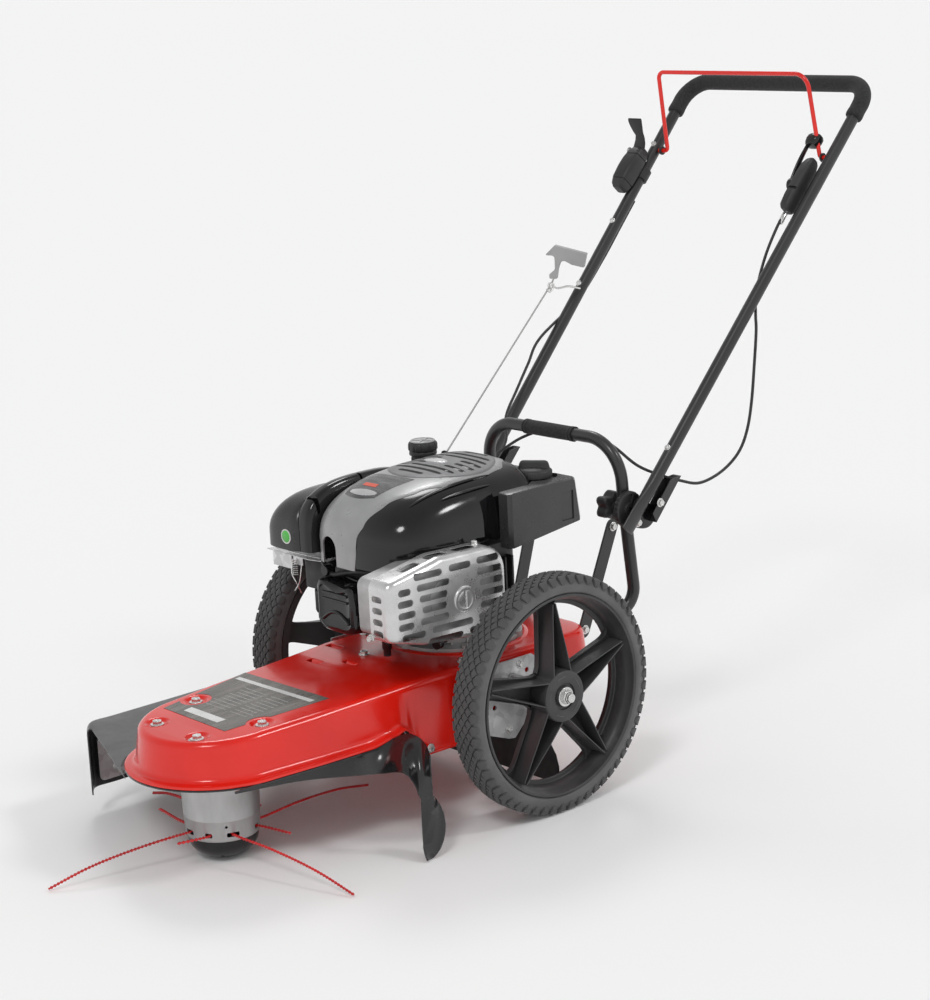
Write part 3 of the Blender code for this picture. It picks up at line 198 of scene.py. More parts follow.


# In the paint and plastic calls the last two values are the strength and colour of the painted edge
# highlight.
M = {
    "red": paint("deck_enamel", "deck_red", (0.68, 0.009, 0.003), (0.78, 0.014, 0.006), 0.14, 0.24, 0.035,
                 0.15, 0.2, (0.75, 0.06, 0.04)),
    "black": paint("satin_black_enamel", "black_metal", (0.016, 0.016, 0.017), (0.024, 0.024, 0.025), 0.3,
                   0.44, 0.1, 0.15, 0.15, (0.12, 0.12, 0.12)),
    "guard": paint("guard_black_enamel", "black_metal", (0.008, 0.008, 0.009), (0.014, 0.014, 0.015), 0.17,
                   0.3, 0.06, 0.35, 0.2, (0.1, 0.1, 0.1)),
    "gloss": plastic("gloss_black_moulding", "black_plastic", (0.004, 0.004, 0.005), (0.008, 0.008, 0.009),
                     0.09, 0.16, 380.0, 0.03, 0.0, 0.0, 0.05, (0.04, 0.04, 0.04)),
    "matt": plastic("matt_black_moulding", "black_plastic", (0.012, 0.012, 0.013), (0.022, 0.022, 0.023),
                    0.4, 0.58),
    "tank": plastic("tank_black_moulding", "black_plastic", (0.018, 0.018, 0.019), (0.028, 0.028, 0.029),
                    0.2, 0.32, 1300.0, 0.08),
    "wheel": plastic("charcoal_wheel_moulding", "wheel_plastic", (0.026, 0.026, 0.027), (0.04, 0.04, 0.042),
                     0.34, 0.5, 1100.0, 0.1, 0.0, 0.05, 0.3, (0.16, 0.16, 0.165)),
    "tyre": plastic("tyre_rubber", "rubber", (0.07, 0.07, 0.071), (0.1, 0.1, 0.101), 0.5, 0.68, 700.0, 0.3,
                    0.0, 0.15, 0.25, (0.14, 0.14, 0.14)),
    "tread": plastic("tread_rubber", "rubber", (0.022, 0.022, 0.023), (0.04, 0.04, 0.041), 0.66, 0.86,
                     800.0, 0.3, 0.0, 0.1, 0.3, (0.13, 0.13, 0.13)),
    "flap": plastic("flap_rubber", "rubber", (0.01, 0.01, 0.01), (0.02, 0.02, 0.02), 0.55, 0.75, 500.0,
                    0.3),
    "foam": foam_shader(),
    "rope": rope_shader(),
    "zinc": metal("zinc_plate", "galvanised", (0.5, 0.5, 0.5), (0.74, 0.74, 0.75), 0.28, 0.48, 0.85, None,
                  300.0, 0.06, 85.0),
    "bolt": metal("zinc_fastener", "galvanised", (0.62, 0.62, 0.61), (0.8, 0.8, 0.79), 0.2, 0.34, 0.95),
    "steel": metal("pressed_steel", "steel", (0.34, 0.34, 0.34), (0.5, 0.5, 0.5), 0.34, 0.5, 0.85,
                   (1.0, 1.0, 0.35), 70.0, 0.015),
    "cast": metal("cast_aluminium", "aluminium", (0.34, 0.34, 0.34), (0.5, 0.5, 0.5), 0.42, 0.6, 0.7, None,
                  420.0, 0.25),
    "dark_cast": metal("dark_casting", "aluminium", (0.03, 0.03, 0.031), (0.06, 0.06, 0.062), 0.4, 0.58,
                       0.4, None, 420.0, 0.25),
    "silver": metal("silver_guard", "aluminium", (0.62, 0.62, 0.62), (0.76, 0.76, 0.76), 0.24, 0.36, 0.8,
                    None, 260.0, 0.06),
    "band": metal("silver_grey_moulding", "silver_paint", (0.3, 0.302, 0.305), (0.355, 0.357, 0.36), 0.26,
                  0.36, 0.35, None, 900.0, 0.04),
    "grille": metal("grille_grey_moulding", "silver_paint", (0.16, 0.16, 0.165), (0.21, 0.21, 0.215), 0.36,
                    0.48, 0.2, None, 900.0, 0.08),
    "badge": metal("graphite_badge", "silver_paint", (0.055, 0.055, 0.058), (0.14, 0.14, 0.145), 0.22, 0.34,
                   0.4, (1.0, 5.0, 1.0), 500.0, 0.03),
    "pale_badge": metal("pale_badge", "silver_paint", (0.5, 0.5, 0.51), (0.66, 0.66, 0.67), 0.22, 0.32,
                        0.5),
    "label": metal("label_graphite", "black_plastic", (0.085, 0.076, 0.066), (0.17, 0.155, 0.138), 0.24,
                   0.32, 0.2, (3.0, 0.6, 1.0), 700.0, 0.02),
    "label_pale": metal("label_pale_print", "silver_paint", (0.62, 0.62, 0.61), (0.75, 0.75, 0.74), 0.26,
                        0.34, 0.1),
    "label_line": metal("label_faint_print", "silver_paint", (0.3, 0.29, 0.28), (0.38, 0.37, 0.36), 0.26,
                        0.34, 0.3),
    "stripe": plastic("orange_red_print", "silver_paint", (0.62, 0.06, 0.025), (0.72, 0.08, 0.035), 0.25,
                      0.32, 500.0, 0.02),
    "green": plastic("green_dot", "silver_paint", (0.06, 0.42, 0.05), (0.09, 0.55, 0.08), 0.25, 0.32, 500.0,
                     0.02),
    "line": plastic("trimmer_nylon", "line_red", (0.42, 0.006, 0.008), (0.66, 0.012, 0.014), 0.24, 0.38,
                    900.0, 0.1, 0.0, 0.0, 0.35, (0.9, 0.08, 0.08)),
    "grip_grey": plastic("grip_grey_moulding", "grey_plastic", (0.32, 0.32, 0.32), (0.38, 0.38, 0.38), 0.42,
                         0.56),
    # Near-black used as painted shade behind the grille, the arch and the boss slit, and as the band seam's
    # own colour.
    "dark": plastic("painted_shade_and_seam_black", "black_plastic", (0.003, 0.003, 0.003), (0.006, 0.006, 0.006), 0.6, 0.8),
    "belt": plastic("belt_rubber", "rubber", (0.014, 0.014, 0.014), (0.026, 0.026, 0.026), 0.6, 0.8, 600.0,
                    0.3),
}


# ---------------------------------------------------------------- mesh helpers
def to_object(name, bm, angle=38.0):
    bmesh.ops.recalc_face_normals(bm, faces=bm.faces)
    mesh = bpy.data.meshes.new(name)
    bm.to_mesh(mesh)
    bm.free()
    mesh.shade_smooth()
    mesh.set_sharp_from_angle(angle=math.radians(angle))
    obj = bpy.data.objects.new(name, mesh)
    bpy.context.collection.objects.link(obj)
    return obj


def join(*meshes):
    """Several bmeshes in one."""
    whole = bmesh.new()
    for bm in meshes:
        mesh = bpy.data.meshes.new("part")
        bm.to_mesh(mesh)
        bm.free()
        whole.from_mesh(mesh)
        bpy.data.meshes.remove(mesh)
    return whole


def cut(obj, cutter_mesh, angle):
    """Subtract a bmesh of cutters from an object, for good."""
    tool = to_object("cutter", cutter_mesh)
    modifier = obj.modifiers.new("cut", "BOOLEAN")
    modifier.operation = "DIFFERENCE"
    modifier.solver = "EXACT"
    modifier.use_self = True
    modifier.object = tool
    bpy.context.view_layer.update()
    mesh = bpy.data.meshes.new_from_object(obj.evaluated_get(bpy.context.evaluated_depsgraph_get()))
    obj.modifiers.clear()
    obj.data = mesh
    bpy.data.objects.remove(tool, do_unlink=True)
    mesh.shade_smooth()
    mesh.set_sharp_from_angle(angle=math.radians(angle))


def piece(name, bm, mat, body, *nodes, bevel=0.0, steps=2, angle=38.0, subsurf=0, cuts=None):
    """Make a visible piece: material, cuts, rounding, the body it rides on and the nodes it replaces."""
    obj = to_object(name, bm, angle)
    if cuts is not None:
        cut(obj, cuts, angle)
    obj.data.materials.clear()
    obj.data.materials.append(M[mat].material)
    if bevel:
        modifier = obj.modifiers.new("edges", "BEVEL")
        modifier.width = bevel
        modifier.segments = steps
        modifier.limit_method = "ANGLE"
        modifier.angle_limit = math.radians(32)
        modifier.harden_normals = True
    if subsurf:
        modifier = obj.modifiers.new("smooth", "SUBSURF")
        modifier.levels = modifier.render_levels = subsurf
    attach(obj, body)
    if nodes:
        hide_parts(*nodes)
    return obj


def frame_along(axis):
    axis = Vector(axis).normalized()
    side = Vector((0, 0, 1)) if abs(axis.z) < 0.9 else Vector((1, 0, 0))
    first = side.cross(axis).normalized()
    return axis, first, axis.cross(first)


def lathe(profile, centre=(0, 0, 0), axis=(0, 0, 1), segments=48, closed=False, phase=0.0, wobble=None):
    """Revolve (radius, distance) points; `wobble(turn, radius)` may change the radius round the axis."""
    axis, first, second = frame_along(axis)
    bm = bmesh.new()
    rings = []
    for radius, along in profile:
        base = Vector(centre) + axis * along
        if radius == 0.0:
            rings.append([bm.verts.new(base)])
            continue
        ring = []
        for step in range(segments):
            turn = phase + 2 * math.pi * step / segments
            reach = wobble(turn, radius) if wobble else radius
            ring.append(bm.verts.new(base + (first * math.cos(turn) + second * math.sin(turn)) * reach))
        rings.append(ring)
    pairs = list(zip(rings, rings[1:]))
    if closed:
        pairs.append((rings[-1], rings[0]))
    for low, high in pairs:
        for step in range(segments):
            after = (step + 1) % segments
            corners = [low[step % len(low)], low[after % len(low)],
                       high[after % len(high)], high[step % len(high)]]
            bm.faces.new(list(dict.fromkeys(corners)))
    return bm


def prism(outline, low, high, axis="Z"):
    """Extrude a closed outline along a world axis.  X: (y, z); Y: (x, z); Z: (x, y)."""
    place = {"X": lambda u, v, w: (w, u, v),
             "Y": lambda u, v, w: (u, w, v),
             "Z": lambda u, v, w: (u, v, w)}[axis]
    rings = [[place(u, v, w) for u, v in outline] for w in (low, high)]
    return loft(rings)


def box(low, high):
    (x0, y0, z0), (x1, y1, z1) = low, high
    return prism([(x0, y0), (x1, y0), (x1, y1), (x0, y1)], z0, z1)


def loft(rings, capped=True, closed=True):
    bm = bmesh.new()
    made = [[bm.verts.new(point) for point in ring] for ring in rings]
    count = len(made[0])
    for low, high in zip(made, made[1:]):
        for step in range(count if closed else count - 1):
            after = (step + 1) % count
            bm.faces.new((low[step], low[after], high[after], high[step]))
    if capped:
        bm.faces.new(made[0])
        bm.faces.new(made[-1])
    return bm


def tangents(points):
    last = len(points) - 1
    return [(points[min(k + 1, last)] - points[max(k - 1, 0)]).normalized() for k in range(last + 1)]


def sweep(points, section, up=(1, 0, 0), twist=0.0):
    """Carry a closed (side, up) section along a path; `section` may be a function of the step."""
    points = [Vector(point) for point in points]
    rings = []
    normal = Vector(up)
    for index, (point, along) in enumerate(zip(points, tangents(points))):
        normal = (normal - along * normal.dot(along)).normalized()
        side = along.cross(normal)
        shape = section(index) if callable(section) else section
        c, s = math.cos(twist * index), math.sin(twist * index)
        rings.append([point + side * (u * c - v * s) + normal * (u * s + v * c) for u, v in shape])
    return rings


def circle(radius, sides=16, wide=1.0, tall=1.0):
    return [(radius * wide * math.cos(2 * math.pi * k / sides),
             radius * tall * math.sin(2 * math.pi * k / sides))
            for k in range(sides)]


def bar(width, thickness):
    return [(-width / 2, -thickness / 2), (width / 2, -thickness / 2),
            (width / 2, thickness / 2), (-width / 2, thickness / 2)]


def rod(points, radius, sides=16, up=(1, 0, 0)):
    return loft(sweep(points, circle(radius, sides), up))


def rounded_path(corners, radius, steps=10):
    corners = [Vector(corner) for corner in corners]
    path = [corners[0]]
    for before, corner, after in zip(corners, corners[1:], corners[2:]):
        back = (before - corner).normalized()
        on = (after - corner).normalized()
        half = back.angle(on) / 2
        middle = corner + (back + on).normalized() * (radius / math.sin(half))
        start = corner + back * (radius / math.tan(half)) - middle
        end = corner + on * (radius / math.tan(half)) - middle
        swing = start.angle(end)
        for step in range(steps + 1):
            part = swing * step / steps
            path.append(middle + (start * math.sin(swing - part) + end * math.sin(part)) / math.sin(swing))
    path.append(corners[-1])
    return path


def rounded_outline(corners, steps):
    """Closed outline through (u, v, radius) corners, each turned into an arc."""
    outline = []
    for before, corner, after in zip(corners[-1:] + corners[:-1], corners, corners[1:] + corners[:1]):
        ends = [Vector((u, v, 0)) for u, v, _ in (before, corner, after)]
        outline += [(point.x, point.y) for point in rounded_path(ends, corner[2], steps)[1:-1]]
    return outline


def smooth_curve(route, spacing):
    """Points about `spacing` apart on a Catmull-Rom curve through the route."""
    route = [Vector(point) for point in route]
    padded = [route[0] * 2 - route[1]] + route + [route[-1] * 2 - route[-2]]
    curve = []
    for a, b, c, d in zip(padded, padded[1:], padded[2:], padded[3:]):
        steps = max(1, round((c - b).length / spacing))
        for step in range(steps):
            t = step / steps
            curve.append(0.5 * (2 * b + (c - a) * t + (2 * a - 5 * b + 4 * c - d) * t * t
                                + (3 * b - a - 3 * c + d) * t * t * t))
    curve.append(route[-1])
    return curve


def sided(bm, side):
    if side < 0:
        bmesh.ops.scale(bm, verts=bm.verts, vec=(-1, 1, 1))
    return bm


def turned(bm, angle, axis="Z", centre=(0, 0, 0)):
    bmesh.ops.rotate(bm, verts=bm.verts, cent=Vector(centre), matrix=Matrix.Rotation(angle, 3, axis))
    return bm


def sheet(grid, thickness):
    """Close a grid of points into a sheet `thickness` deep along its own normals."""
    grid = [[Vector(point) for point in row] for row in grid]
    rows, cols = len(grid), len(grid[0])
    back = []
    for r in range(rows):
        back.append([])
        for c in range(cols):
            along = grid[min(r + 1, rows - 1)][c] - grid[max(r - 1, 0)][c]
            across = grid[r][min(c + 1, cols - 1)] - grid[r][max(c - 1, 0)]
            back[r].append(grid[r][c] + along.cross(across).normalized() * thickness)
    bm = bmesh.new()
    front = [[bm.verts.new(p) for p in row] for row in grid]
    rear = [[bm.verts.new(p) for p in row] for row in back]
    for layer in (front, rear):
        for r in range(rows - 1):
            for c in range(cols - 1):
                bm.faces.new((layer[r][c], layer[r][c + 1], layer[r + 1][c + 1], layer[r + 1][c]))
    rim = ([(0, c) for c in range(cols)] + [(r, cols - 1) for r in range(1, rows)]
           + [(rows - 1, c) for c in range(cols - 2, -1, -1)] + [(r, 0) for r in range(rows - 2, 0, -1)])
    for (r0, c0), (r1, c1) in zip(rim, rim[1:] + rim[:1]):
        bm.faces.new((front[r0][c0], front[r1][c1], rear[r1][c1], rear[r0][c0]))
    return bm


def spline_rows(rows, spacing):
    """Refine a grid of points along its rows' direction with smooth curves."""
    count = [max(1, round(max((Vector(b[c]) - Vector(a[c])).length for c in range(len(a))) / spacing))
             for a, b in zip(rows, rows[1:])]
    result = []
    for index, steps in enumerate(count):
        a = rows[max(index - 1, 0)]
        b, c = rows[index], rows[index + 1]
        d = rows[min(index + 2, len(rows) - 1)]
        for step in range(steps):
            t = step / steps
            result.append([0.5 * (2 * Vector(q) + (Vector(r) - Vector(p)) * t
                                  + (2 * Vector(p) - 5 * Vector(q) + 4 * Vector(r) - Vector(s)) * t * t
                                  + (3 * Vector(q) - Vector(p) - 3 * Vector(r) + Vector(s)) * t ** 3)
                           for p, q, r, s in zip(a, b, c, d)])
    result.append([Vector(p) for p in rows[-1]])
    return result


def interpolate(table, value):
    for (x0, y0), (x1, y1) in zip(table, table[1:]):
        if value <= x1:
            part = max(0.0, (value - x0) / (x1 - x0))
            return y0 + (y1 - y0) * part
    return table[-1][1]


def hex_bolt(centre, axis, head=0.0065, height=0.005, flange=0.0105, washer=0.0015, shank=0.004):
    """Flanged hex head with a chamfered top standing on a washer."""
    collar = lathe([(0, -shank), (0.004, -shank), (0.004, 0), (flange, 0), (flange, washer * 0.6),
                    (flange * 0.93, washer), (0, washer)], centre, axis, 28)
    top = washer + height
    hexagon = lathe([(0, washer * 0.5), (head * 1.1547, washer * 0.5), (head * 1.1547, top - 0.0009),
                     (head * 0.98, top), (head * 0.6, top), (head * 0.5, top - 0.0006), (0, top - 0.0006)],
                    centre, axis, 6)
    return join(collar, hexagon)


def keep(node, mat, bevel=0.0, steps=2):
    """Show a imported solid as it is, with its material and softened edges."""
    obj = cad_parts[node]
    obj.data.materials.clear()
    obj.data.materials.append(M[mat].material)
    if bevel:
        modifier = obj.modifiers.new("edges", "BEVEL")
        modifier.width = bevel
        modifier.segments = steps
        modifier.limit_method = "ANGLE"
        modifier.angle_limit = math.radians(32)


# ---------------------------------------------------------------- wheels
TREAD_COUNT = 60
TYRE_MIDDLE = 0.26645
BEAD_RADIUS = 0.1716
BLOCK_REACH = 0.0067                        # from a block's middle to its points, across the tread
BLOCK_TIP = 0.005                           # half the angle that a block's point spans
TREAD_SHAPE = [(0.0, 0.203), (0.012, 0.2029), (0.019, 0.2023), (0.0235, 0.2008), (0.0262, 0.1975),
               (0.0276, 0.1925), (0.0282, 0.187)]
CARCASS_SHAPE = [(0.0, 0.1984), (0.012, 0.1982), (0.018, 0.1972), (0.022, 0.1948), (0.0242, 0.1905),
                 (0.0256, 0.1865), (0.027, 0.1825), (0.0278, 0.1785), (0.027, 0.1745), (0.024, BEAD_RADIUS)]


def tyre_surface(travel, turn, depth, side):
    """A point under the tread: `travel` runs from the middle over the shoulder and down the sidewall."""
    left = abs(travel)
    for (x0, r0), (x1, r1) in zip(TREAD_SHAPE, TREAD_SHAPE[1:]):
        span = math.hypot(x1 - x0, r1 - r0)
        if left <= span or (x1, r1) == TREAD_SHAPE[-1]:
            break
        left -= span
    part = min(left / span, 1.0)
    out = Vector((r0 - r1, x1 - x0)).normalized()
    reach = x0 + (x1 - x0) * part - out.x * depth
    radius = r0 + (r1 - r0) * part - out.y * depth
    x = side * (TYRE_MIDDLE + math.copysign(reach, travel))
    return Vector((x, AXLE.y + radius * math.cos(turn), AXLE.z + radius * math.sin(turn)))


def tread_block(side, turn, rows):
    """A rubber block from (travel, half angle) rows, standing on the carcass with drafted walls."""
    rings = []
    for index, (travel, half) in enumerate(rows):
        drop = 0.0022 if index in (0, len(rows) - 1) else 0.0
        top = max(half - 0.0045, half * 0.6)
        rings.append([tyre_surface(travel, turn - half, 0.0062, side),
                      tyre_surface(travel, turn + half, 0.0062, side),
                      tyre_surface(travel, turn + top, drop, side),
                      tyre_surface(travel, turn - top, drop, side)])
    return loft(rings)


def tyre(name, body, side):
    origin = Vector((0, AXLE.y, AXLE.z))
    outer = [(radius, TYRE_MIDDLE + reach) for reach, radius in CARCASS_SHAPE]
    inner = [(radius, 2 * TYRE_MIDDLE - x) for radius, x in outer[::-1]]
    bead = [(BEAD_RADIUS, TYRE_MIDDLE + 0.019), (0.185, TYRE_MIDDLE + 0.02), (0.185, TYRE_MIDDLE - 0.02),
            (BEAD_RADIUS, TYRE_MIDDLE - 0.019)]
    carcass = lathe(inner[:-1] + outer + bead, origin, (1, 0, 0), 120, closed=True)
    piece(name, sided(carcass, side), "tyre", body, name, angle=50)
    blocks = []
    pitch = 2 * math.pi / TREAD_COUNT
    for index in range(TREAD_COUNT):
        turn = pitch * index
        for shift, places in ((0.0, (-0.015, 0.0, 0.015)), (pitch / 2, (-0.0075, 0.0075))):
            for across in places:
                diamond = [(across - BLOCK_REACH, BLOCK_TIP), (across, pitch * 0.43),
                           (across + BLOCK_REACH, BLOCK_TIP)]
                blocks.append(tread_block(side, turn + shift, diamond))
        for hand in (-1, 1):
            rows = [(0.016, 0.007), (0.0222, pitch * 0.42), (0.0255, pitch * 0.41), (0.03, pitch * 0.36),
                    (0.035, pitch * 0.28), (0.041, pitch * 0.17)]
            blocks.append(tread_block(side, turn + pitch / 2, [(hand * a, half) for a, half in rows]))
    piece(f"tread_{name}", join(*blocks), "tread", body, name, angle=25)


def spoke(turn):
    """Deep plate with raised lips, flared into hub and rim, and two thin ribs closing to a V at the rim."""
    rows = [(0.034, 0.033), (0.041, 0.029), (0.05, 0.025), (0.065, 0.0228), (0.1, 0.0202), (0.132, 0.018),
            (0.141, 0.0184), (0.148, 0.021), (0.154, 0.027), (0.1575, 0.033)]
    plate = loft([[(0.2545, -half, r), (0.2545, half, r), (0.2578, half, r), (0.2578, -half, r)]
                  for r, half in rows])
    parts = [plate]
    for hand in (-1, 1):
        lip = [[(0.257, hand * (half - 0.0026), r), (0.257, hand * half, r),
                (0.264, hand * (half - 0.0006), r),
                (0.264, hand * (half - 0.002), r)] for r, half in rows[1:-1]]
        parts.append(loft(lip))
        ribs = []
        for r, middle, high in ((0.036, 0.0198, 0.2962), (0.08, 0.0142, 0.2938), (0.12, 0.0085, 0.2905),
                                (0.158, 0.003, 0.288)):
            ribs.append([(0.257, hand * middle - 0.0016, r), (0.257, hand * middle + 0.0016, r),
                         (high, hand * middle + 0.001, r), (high, hand * middle - 0.001, r)])
        parts.append(loft(ribs))
    arm = join(*parts)
    bmesh.ops.transform(arm, matrix=Matrix.Translation(AXLE) @ Matrix.Rotation(turn, 4, "X"),
                        verts=arm.verts)
    return arm


def rim(name, body, side):
    origin = Vector((0, AXLE.y, AXLE.z))
    ring = [(0.1712, 0.2408), (0.1712, 0.292), (0.1708, 0.2932), (0.1697, 0.294), (0.1678, 0.294),
            (0.1666, 0.2933), (0.166, 0.2915), (0.1655, 0.287), (0.1615, 0.28), (0.1588, 0.274),
            (0.158, 0.266), (0.1574, 0.26), (0.156, 0.2585), (0.15, 0.258), (0.1492, 0.2572),
            (0.1492, 0.2552), (0.15, 0.2545), (0.156, 0.254), (0.1572, 0.252), (0.1572, 0.2408)]
    hub = [(0.0083, 0.232), (0.025, 0.232), (0.027, 0.2335), (0.0305, 0.245), (0.04, 0.252),
           (0.0436, 0.256), (0.0436, 0.2955), (0.043, 0.2968), (0.0418, 0.2976), (0.04, 0.2979),
           (0.024, 0.2979), (0.0228, 0.2975), (0.0222, 0.2965), (0.0218, 0.294), (0.018, 0.2936),
           (0.0175, 0.2955), (0.0165, 0.297), (0.0083, 0.297)]
    parts = [lathe(ring, origin, (1, 0, 0), 120, closed=True),
             lathe(hub, origin, (1, 0, 0), 72, closed=True)]
    parts += [spoke(math.radians(2.4 + 72 * index)) for index in range(5)]
    for index in range(5):
        start = math.radians(30 + 72 * index)
        arc = [origin + Vector((0.2976, 0.0335 * math.cos(start + a), 0.0335 * math.sin(start + a)))
               + Vector((0, -math.sin(start), math.cos(start))) * 0.004 * math.sin(a * 9)
               for a in (-0.17, -0.08, 0.0, 0.08, 0.17)]
        parts.append(rod(arc, 0.0011, 8))
    piece(name, sided(join(*parts), side), "wheel", body, name, bevel=0.0006, angle=40)


def axle(name, side):
    """Stub axle with its shoulder, washer and lock nut."""
    origin = (0, AXLE.y, AXLE.z)
    pin = lathe([(0, 0.17), (0.0138, 0.17), (0.014, 0.171), (0.014, 0.208), (0.0125, 0.209),
                 (0.0125, 0.218), (0.0105, 0.2185), (0.0105, 0.2312), (0.008, 0.2315), (0.008, 0.313),
                 (0.0072, 0.314), (0.004, 0.314), (0.0034, 0.3132), (0, 0.3132)], origin, (1, 0, 0), 40)
    washer = lathe([(0.008, 0.2982), (0.0162, 0.2982), (0.0165, 0.2986), (0.0165, 0.2998), (0.016, 0.3003),
                    (0.008, 0.3003)], origin, (1, 0, 0), 48, closed=True)
    nut = lathe([(0.0078, 0.3), (0.0122, 0.3), (0.0126, 0.3008), (0.0126, 0.3055), (0.0112, 0.3068),
                 (0.0104, 0.3072), (0.01, 0.3095), (0.009, 0.3102), (0.0078, 0.3102)],
                origin, (1, 0, 0), 6, closed=True)
    piece(name, sided(join(pin, washer, nut), side), "bolt", "chassis", name, bevel=0.0003, angle=30)


# ---------------------------------------------------------------- deck
RIM_HEIGHT = [(-0.2, 0.167), (0.19, 0.167), (0.235, 0.174), (0.258, 0.181), (0.272, 0.172),
              (0.286, 0.14), (0.3, 0.124), (0.56, 0.124), (0.62, 0.165), (0.73, 0.172)]
RIM_WIDTH = [(-0.2, 0.02), (0.258, 0.015), (0.3, 0.006), (0.73, 0.004)]
HALF_WIDTH = [(-0.2, 0.128), (0.0045, 0.128), (0.092, 0.136), (0.342, 0.149), (0.62, 0.156)]
DECK_SHEET = 0.0025
TOP_ROUND = 0.0125                          # radius between the deck's top and its wall
NOSE_RADIUS, NOSE_Y = 0.128, 0.0045
TAIL_RADIUS, TAIL_X, TAIL_Y = 0.06, 0.096, 0.652


def deck_top(y):
    return 0.2335 + 0.04 * min(y, 0.342)


def eased(table, value):
    for (x0, y0), (x1, y1) in zip(table, table[1:]):
        if value <= x1:
            part = min(1.0, max(0.0, (value - x0) / (x1 - x0)))
            return y0 + (y1 - y0) * part * part * (3 - 2 * part)
    return table[-1][1]


def deck_half_outline():
    """(x, y, outward normal) along the deck's top edge from the nose tip to the tail."""
    points = []
    for step in range(25):
        angle = math.radians(-90 + 3.75 * step)
        normal = (math.cos(angle), math.sin(angle))
        points.append((NOSE_RADIUS * normal[0], NOSE_Y + NOSE_RADIUS * normal[1], normal))
    y = 0.0145
    while y < 0.6505:
        points.append((interpolate(HALF_WIDTH, y), y, (1.0, 0.0)))
        y += 0.004 if 0.18 < y < 0.31 or 0.555 < y < 0.63 else 0.01
    for step in range(1, 13):
        angle = math.radians(7.5 * step)
        normal = (math.cos(angle), math.sin(angle))
        points.append((TAIL_X + TAIL_RADIUS * normal[0], TAIL_Y + TAIL_RADIUS * normal[1], normal))
    return points


def deck_profile(y, inward):
    """(offset, height) from the top edge, down the wall, through the fillet and over the rolled lip."""
    top, low, out = deck_top(y), eased(RIM_HEIGHT, y), interpolate(RIM_WIDTH, y)
    points = []
    for step in range(7):
        turn = math.radians(15 * step)
        points.append((-TOP_ROUND + (TOP_ROUND - inward) * math.sin(turn),
                       top - TOP_ROUND + (TOP_ROUND - inward) * math.cos(turn)))
    fillet = min(0.01, out * 0.6)
    for step in range(6):
        turn = math.radians(18 * step)
        points.append((0.006 - inward + fillet * (1 - math.cos(turn)),
                       low - inward + fillet * (1 - math.sin(turn))))
    edge = 0.006 + out
    points += [(edge - 0.0022, low - inward - 0.0002),
               (edge - 0.0007 - inward * 0.3, low - 0.001 - inward * 0.6),
               (edge - inward * 0.8, low - 0.0026 - inward * 0.2), (edge - inward * 0.9, low - 0.0046)]
    return points


def deck():
    half = deck_half_outline()
    whole = half + [(-x, y, (-nx, ny)) for x, y, (nx, ny) in half[:0:-1]]
    bm = bmesh.new()
    skins = []
    for inward in (0.0, DECK_SHEET):
        skins.append([[bm.verts.new((x + nx * off, y + ny * off, z)) for off, z in deck_profile(y, inward)]
                      for x, y, (nx, ny) in whole])
    count, depth = len(whole), len(skins[0][0])
    for rings in skins:
        for index in range(count):
            a, b = rings[index], rings[(index + 1) % count]
            for low in range(depth - 1):
                bm.faces.new((a[low], b[low], b[low + 1], a[low + 1]))
        for index in range(1, len(half) - 1):
            bm.faces.new((rings[index][0], rings[index + 1][0], rings[-index - 1][0], rings[-index][0]))
        bm.faces.new((rings[0][0], rings[1][0], rings[-1][0]))
    for index in range(count):
        after = (index + 1) % count
        bm.faces.new((skins[0][index][-1], skins[0][after][-1], skins[1][after][-1], skins[1][index][-1]))
    cutters = [lathe([(0, 0.2), (0.024, 0.2), (0.024, 0.28), (0, 0.28)], CRANK, segments=40)]
    for x, y in DECK_BOLTS:
        cutters.append(lathe([(0, 0.21), (0.0215, 0.21), (0.0215, 0.26), (0, 0.26)], (x, y, 0),
                             segments=48))
    for x, y, wide, deep in WINDOWS:
        cutters.append(window_cutter(x, y, wide, deep))
    piece("deck_shell", bm, "red", "chassis", "deck_shell", angle=34, cuts=join(*cutters))
    for index, (x, y) in enumerate(DECK_BOLTS):
        dimple(index + 1, x, y)
        seat = deck_top(y) - 0.004
        piece(f"spindle_bolt_{index + 1}", hex_bolt((x, y, seat), (0, 0, 1), 0.007, 0.0055, 0.0112), "bolt",
              "chassis", f"spindle_bolt_{index + 1}", bevel=0.0003, angle=30)
    for index, (x, y, wide, deep) in enumerate(WINDOWS):
        window_tongue(index + 1, x, y, wide, deep)
    collar = lathe([(0.126, 0.2465), (0.126, 0.2478), (0.1215, 0.25), (0.117, 0.25), (0.1165, 0.2478),
                    (0.1165, 0.2465)], CRANK, segments=96, closed=True)
    piece("engine_seat_ring", collar, "red", "chassis", angle=50)
    for x, y in ((-0.035, 0.341), (0.128, 0.42), (-0.128, 0.42), (0.0, 0.69)):
        piece(f"deck_bolt_{abs(int(x * 1000))}_{int(y * 1000)}_{'l' if x < 0 else 'r'}",
              hex_bolt((x, y, deck_top(y) - 0.0003), (0, 0, 1), 0.0062, 0.005, 0.0095), "bolt", "chassis",
              bevel=0.0003, angle=30)
    for side in (-1, 1):
        place = (side * 0.1612, 0.312, 0.131)
        piece(f"side_bolt_{'left' if side < 0 else 'right'}",
              hex_bolt(place, (side, 0, 0), 0.0052, 0.004, 0.008),
              "bolt", "chassis", bevel=0.0003, angle=30)


WINDOWS = [(-0.11, 0.338, 0.04, 0.016), (-0.078, 0.268, 0.034, 0.015), (-0.02, 0.298, 0.034, 0.013)]


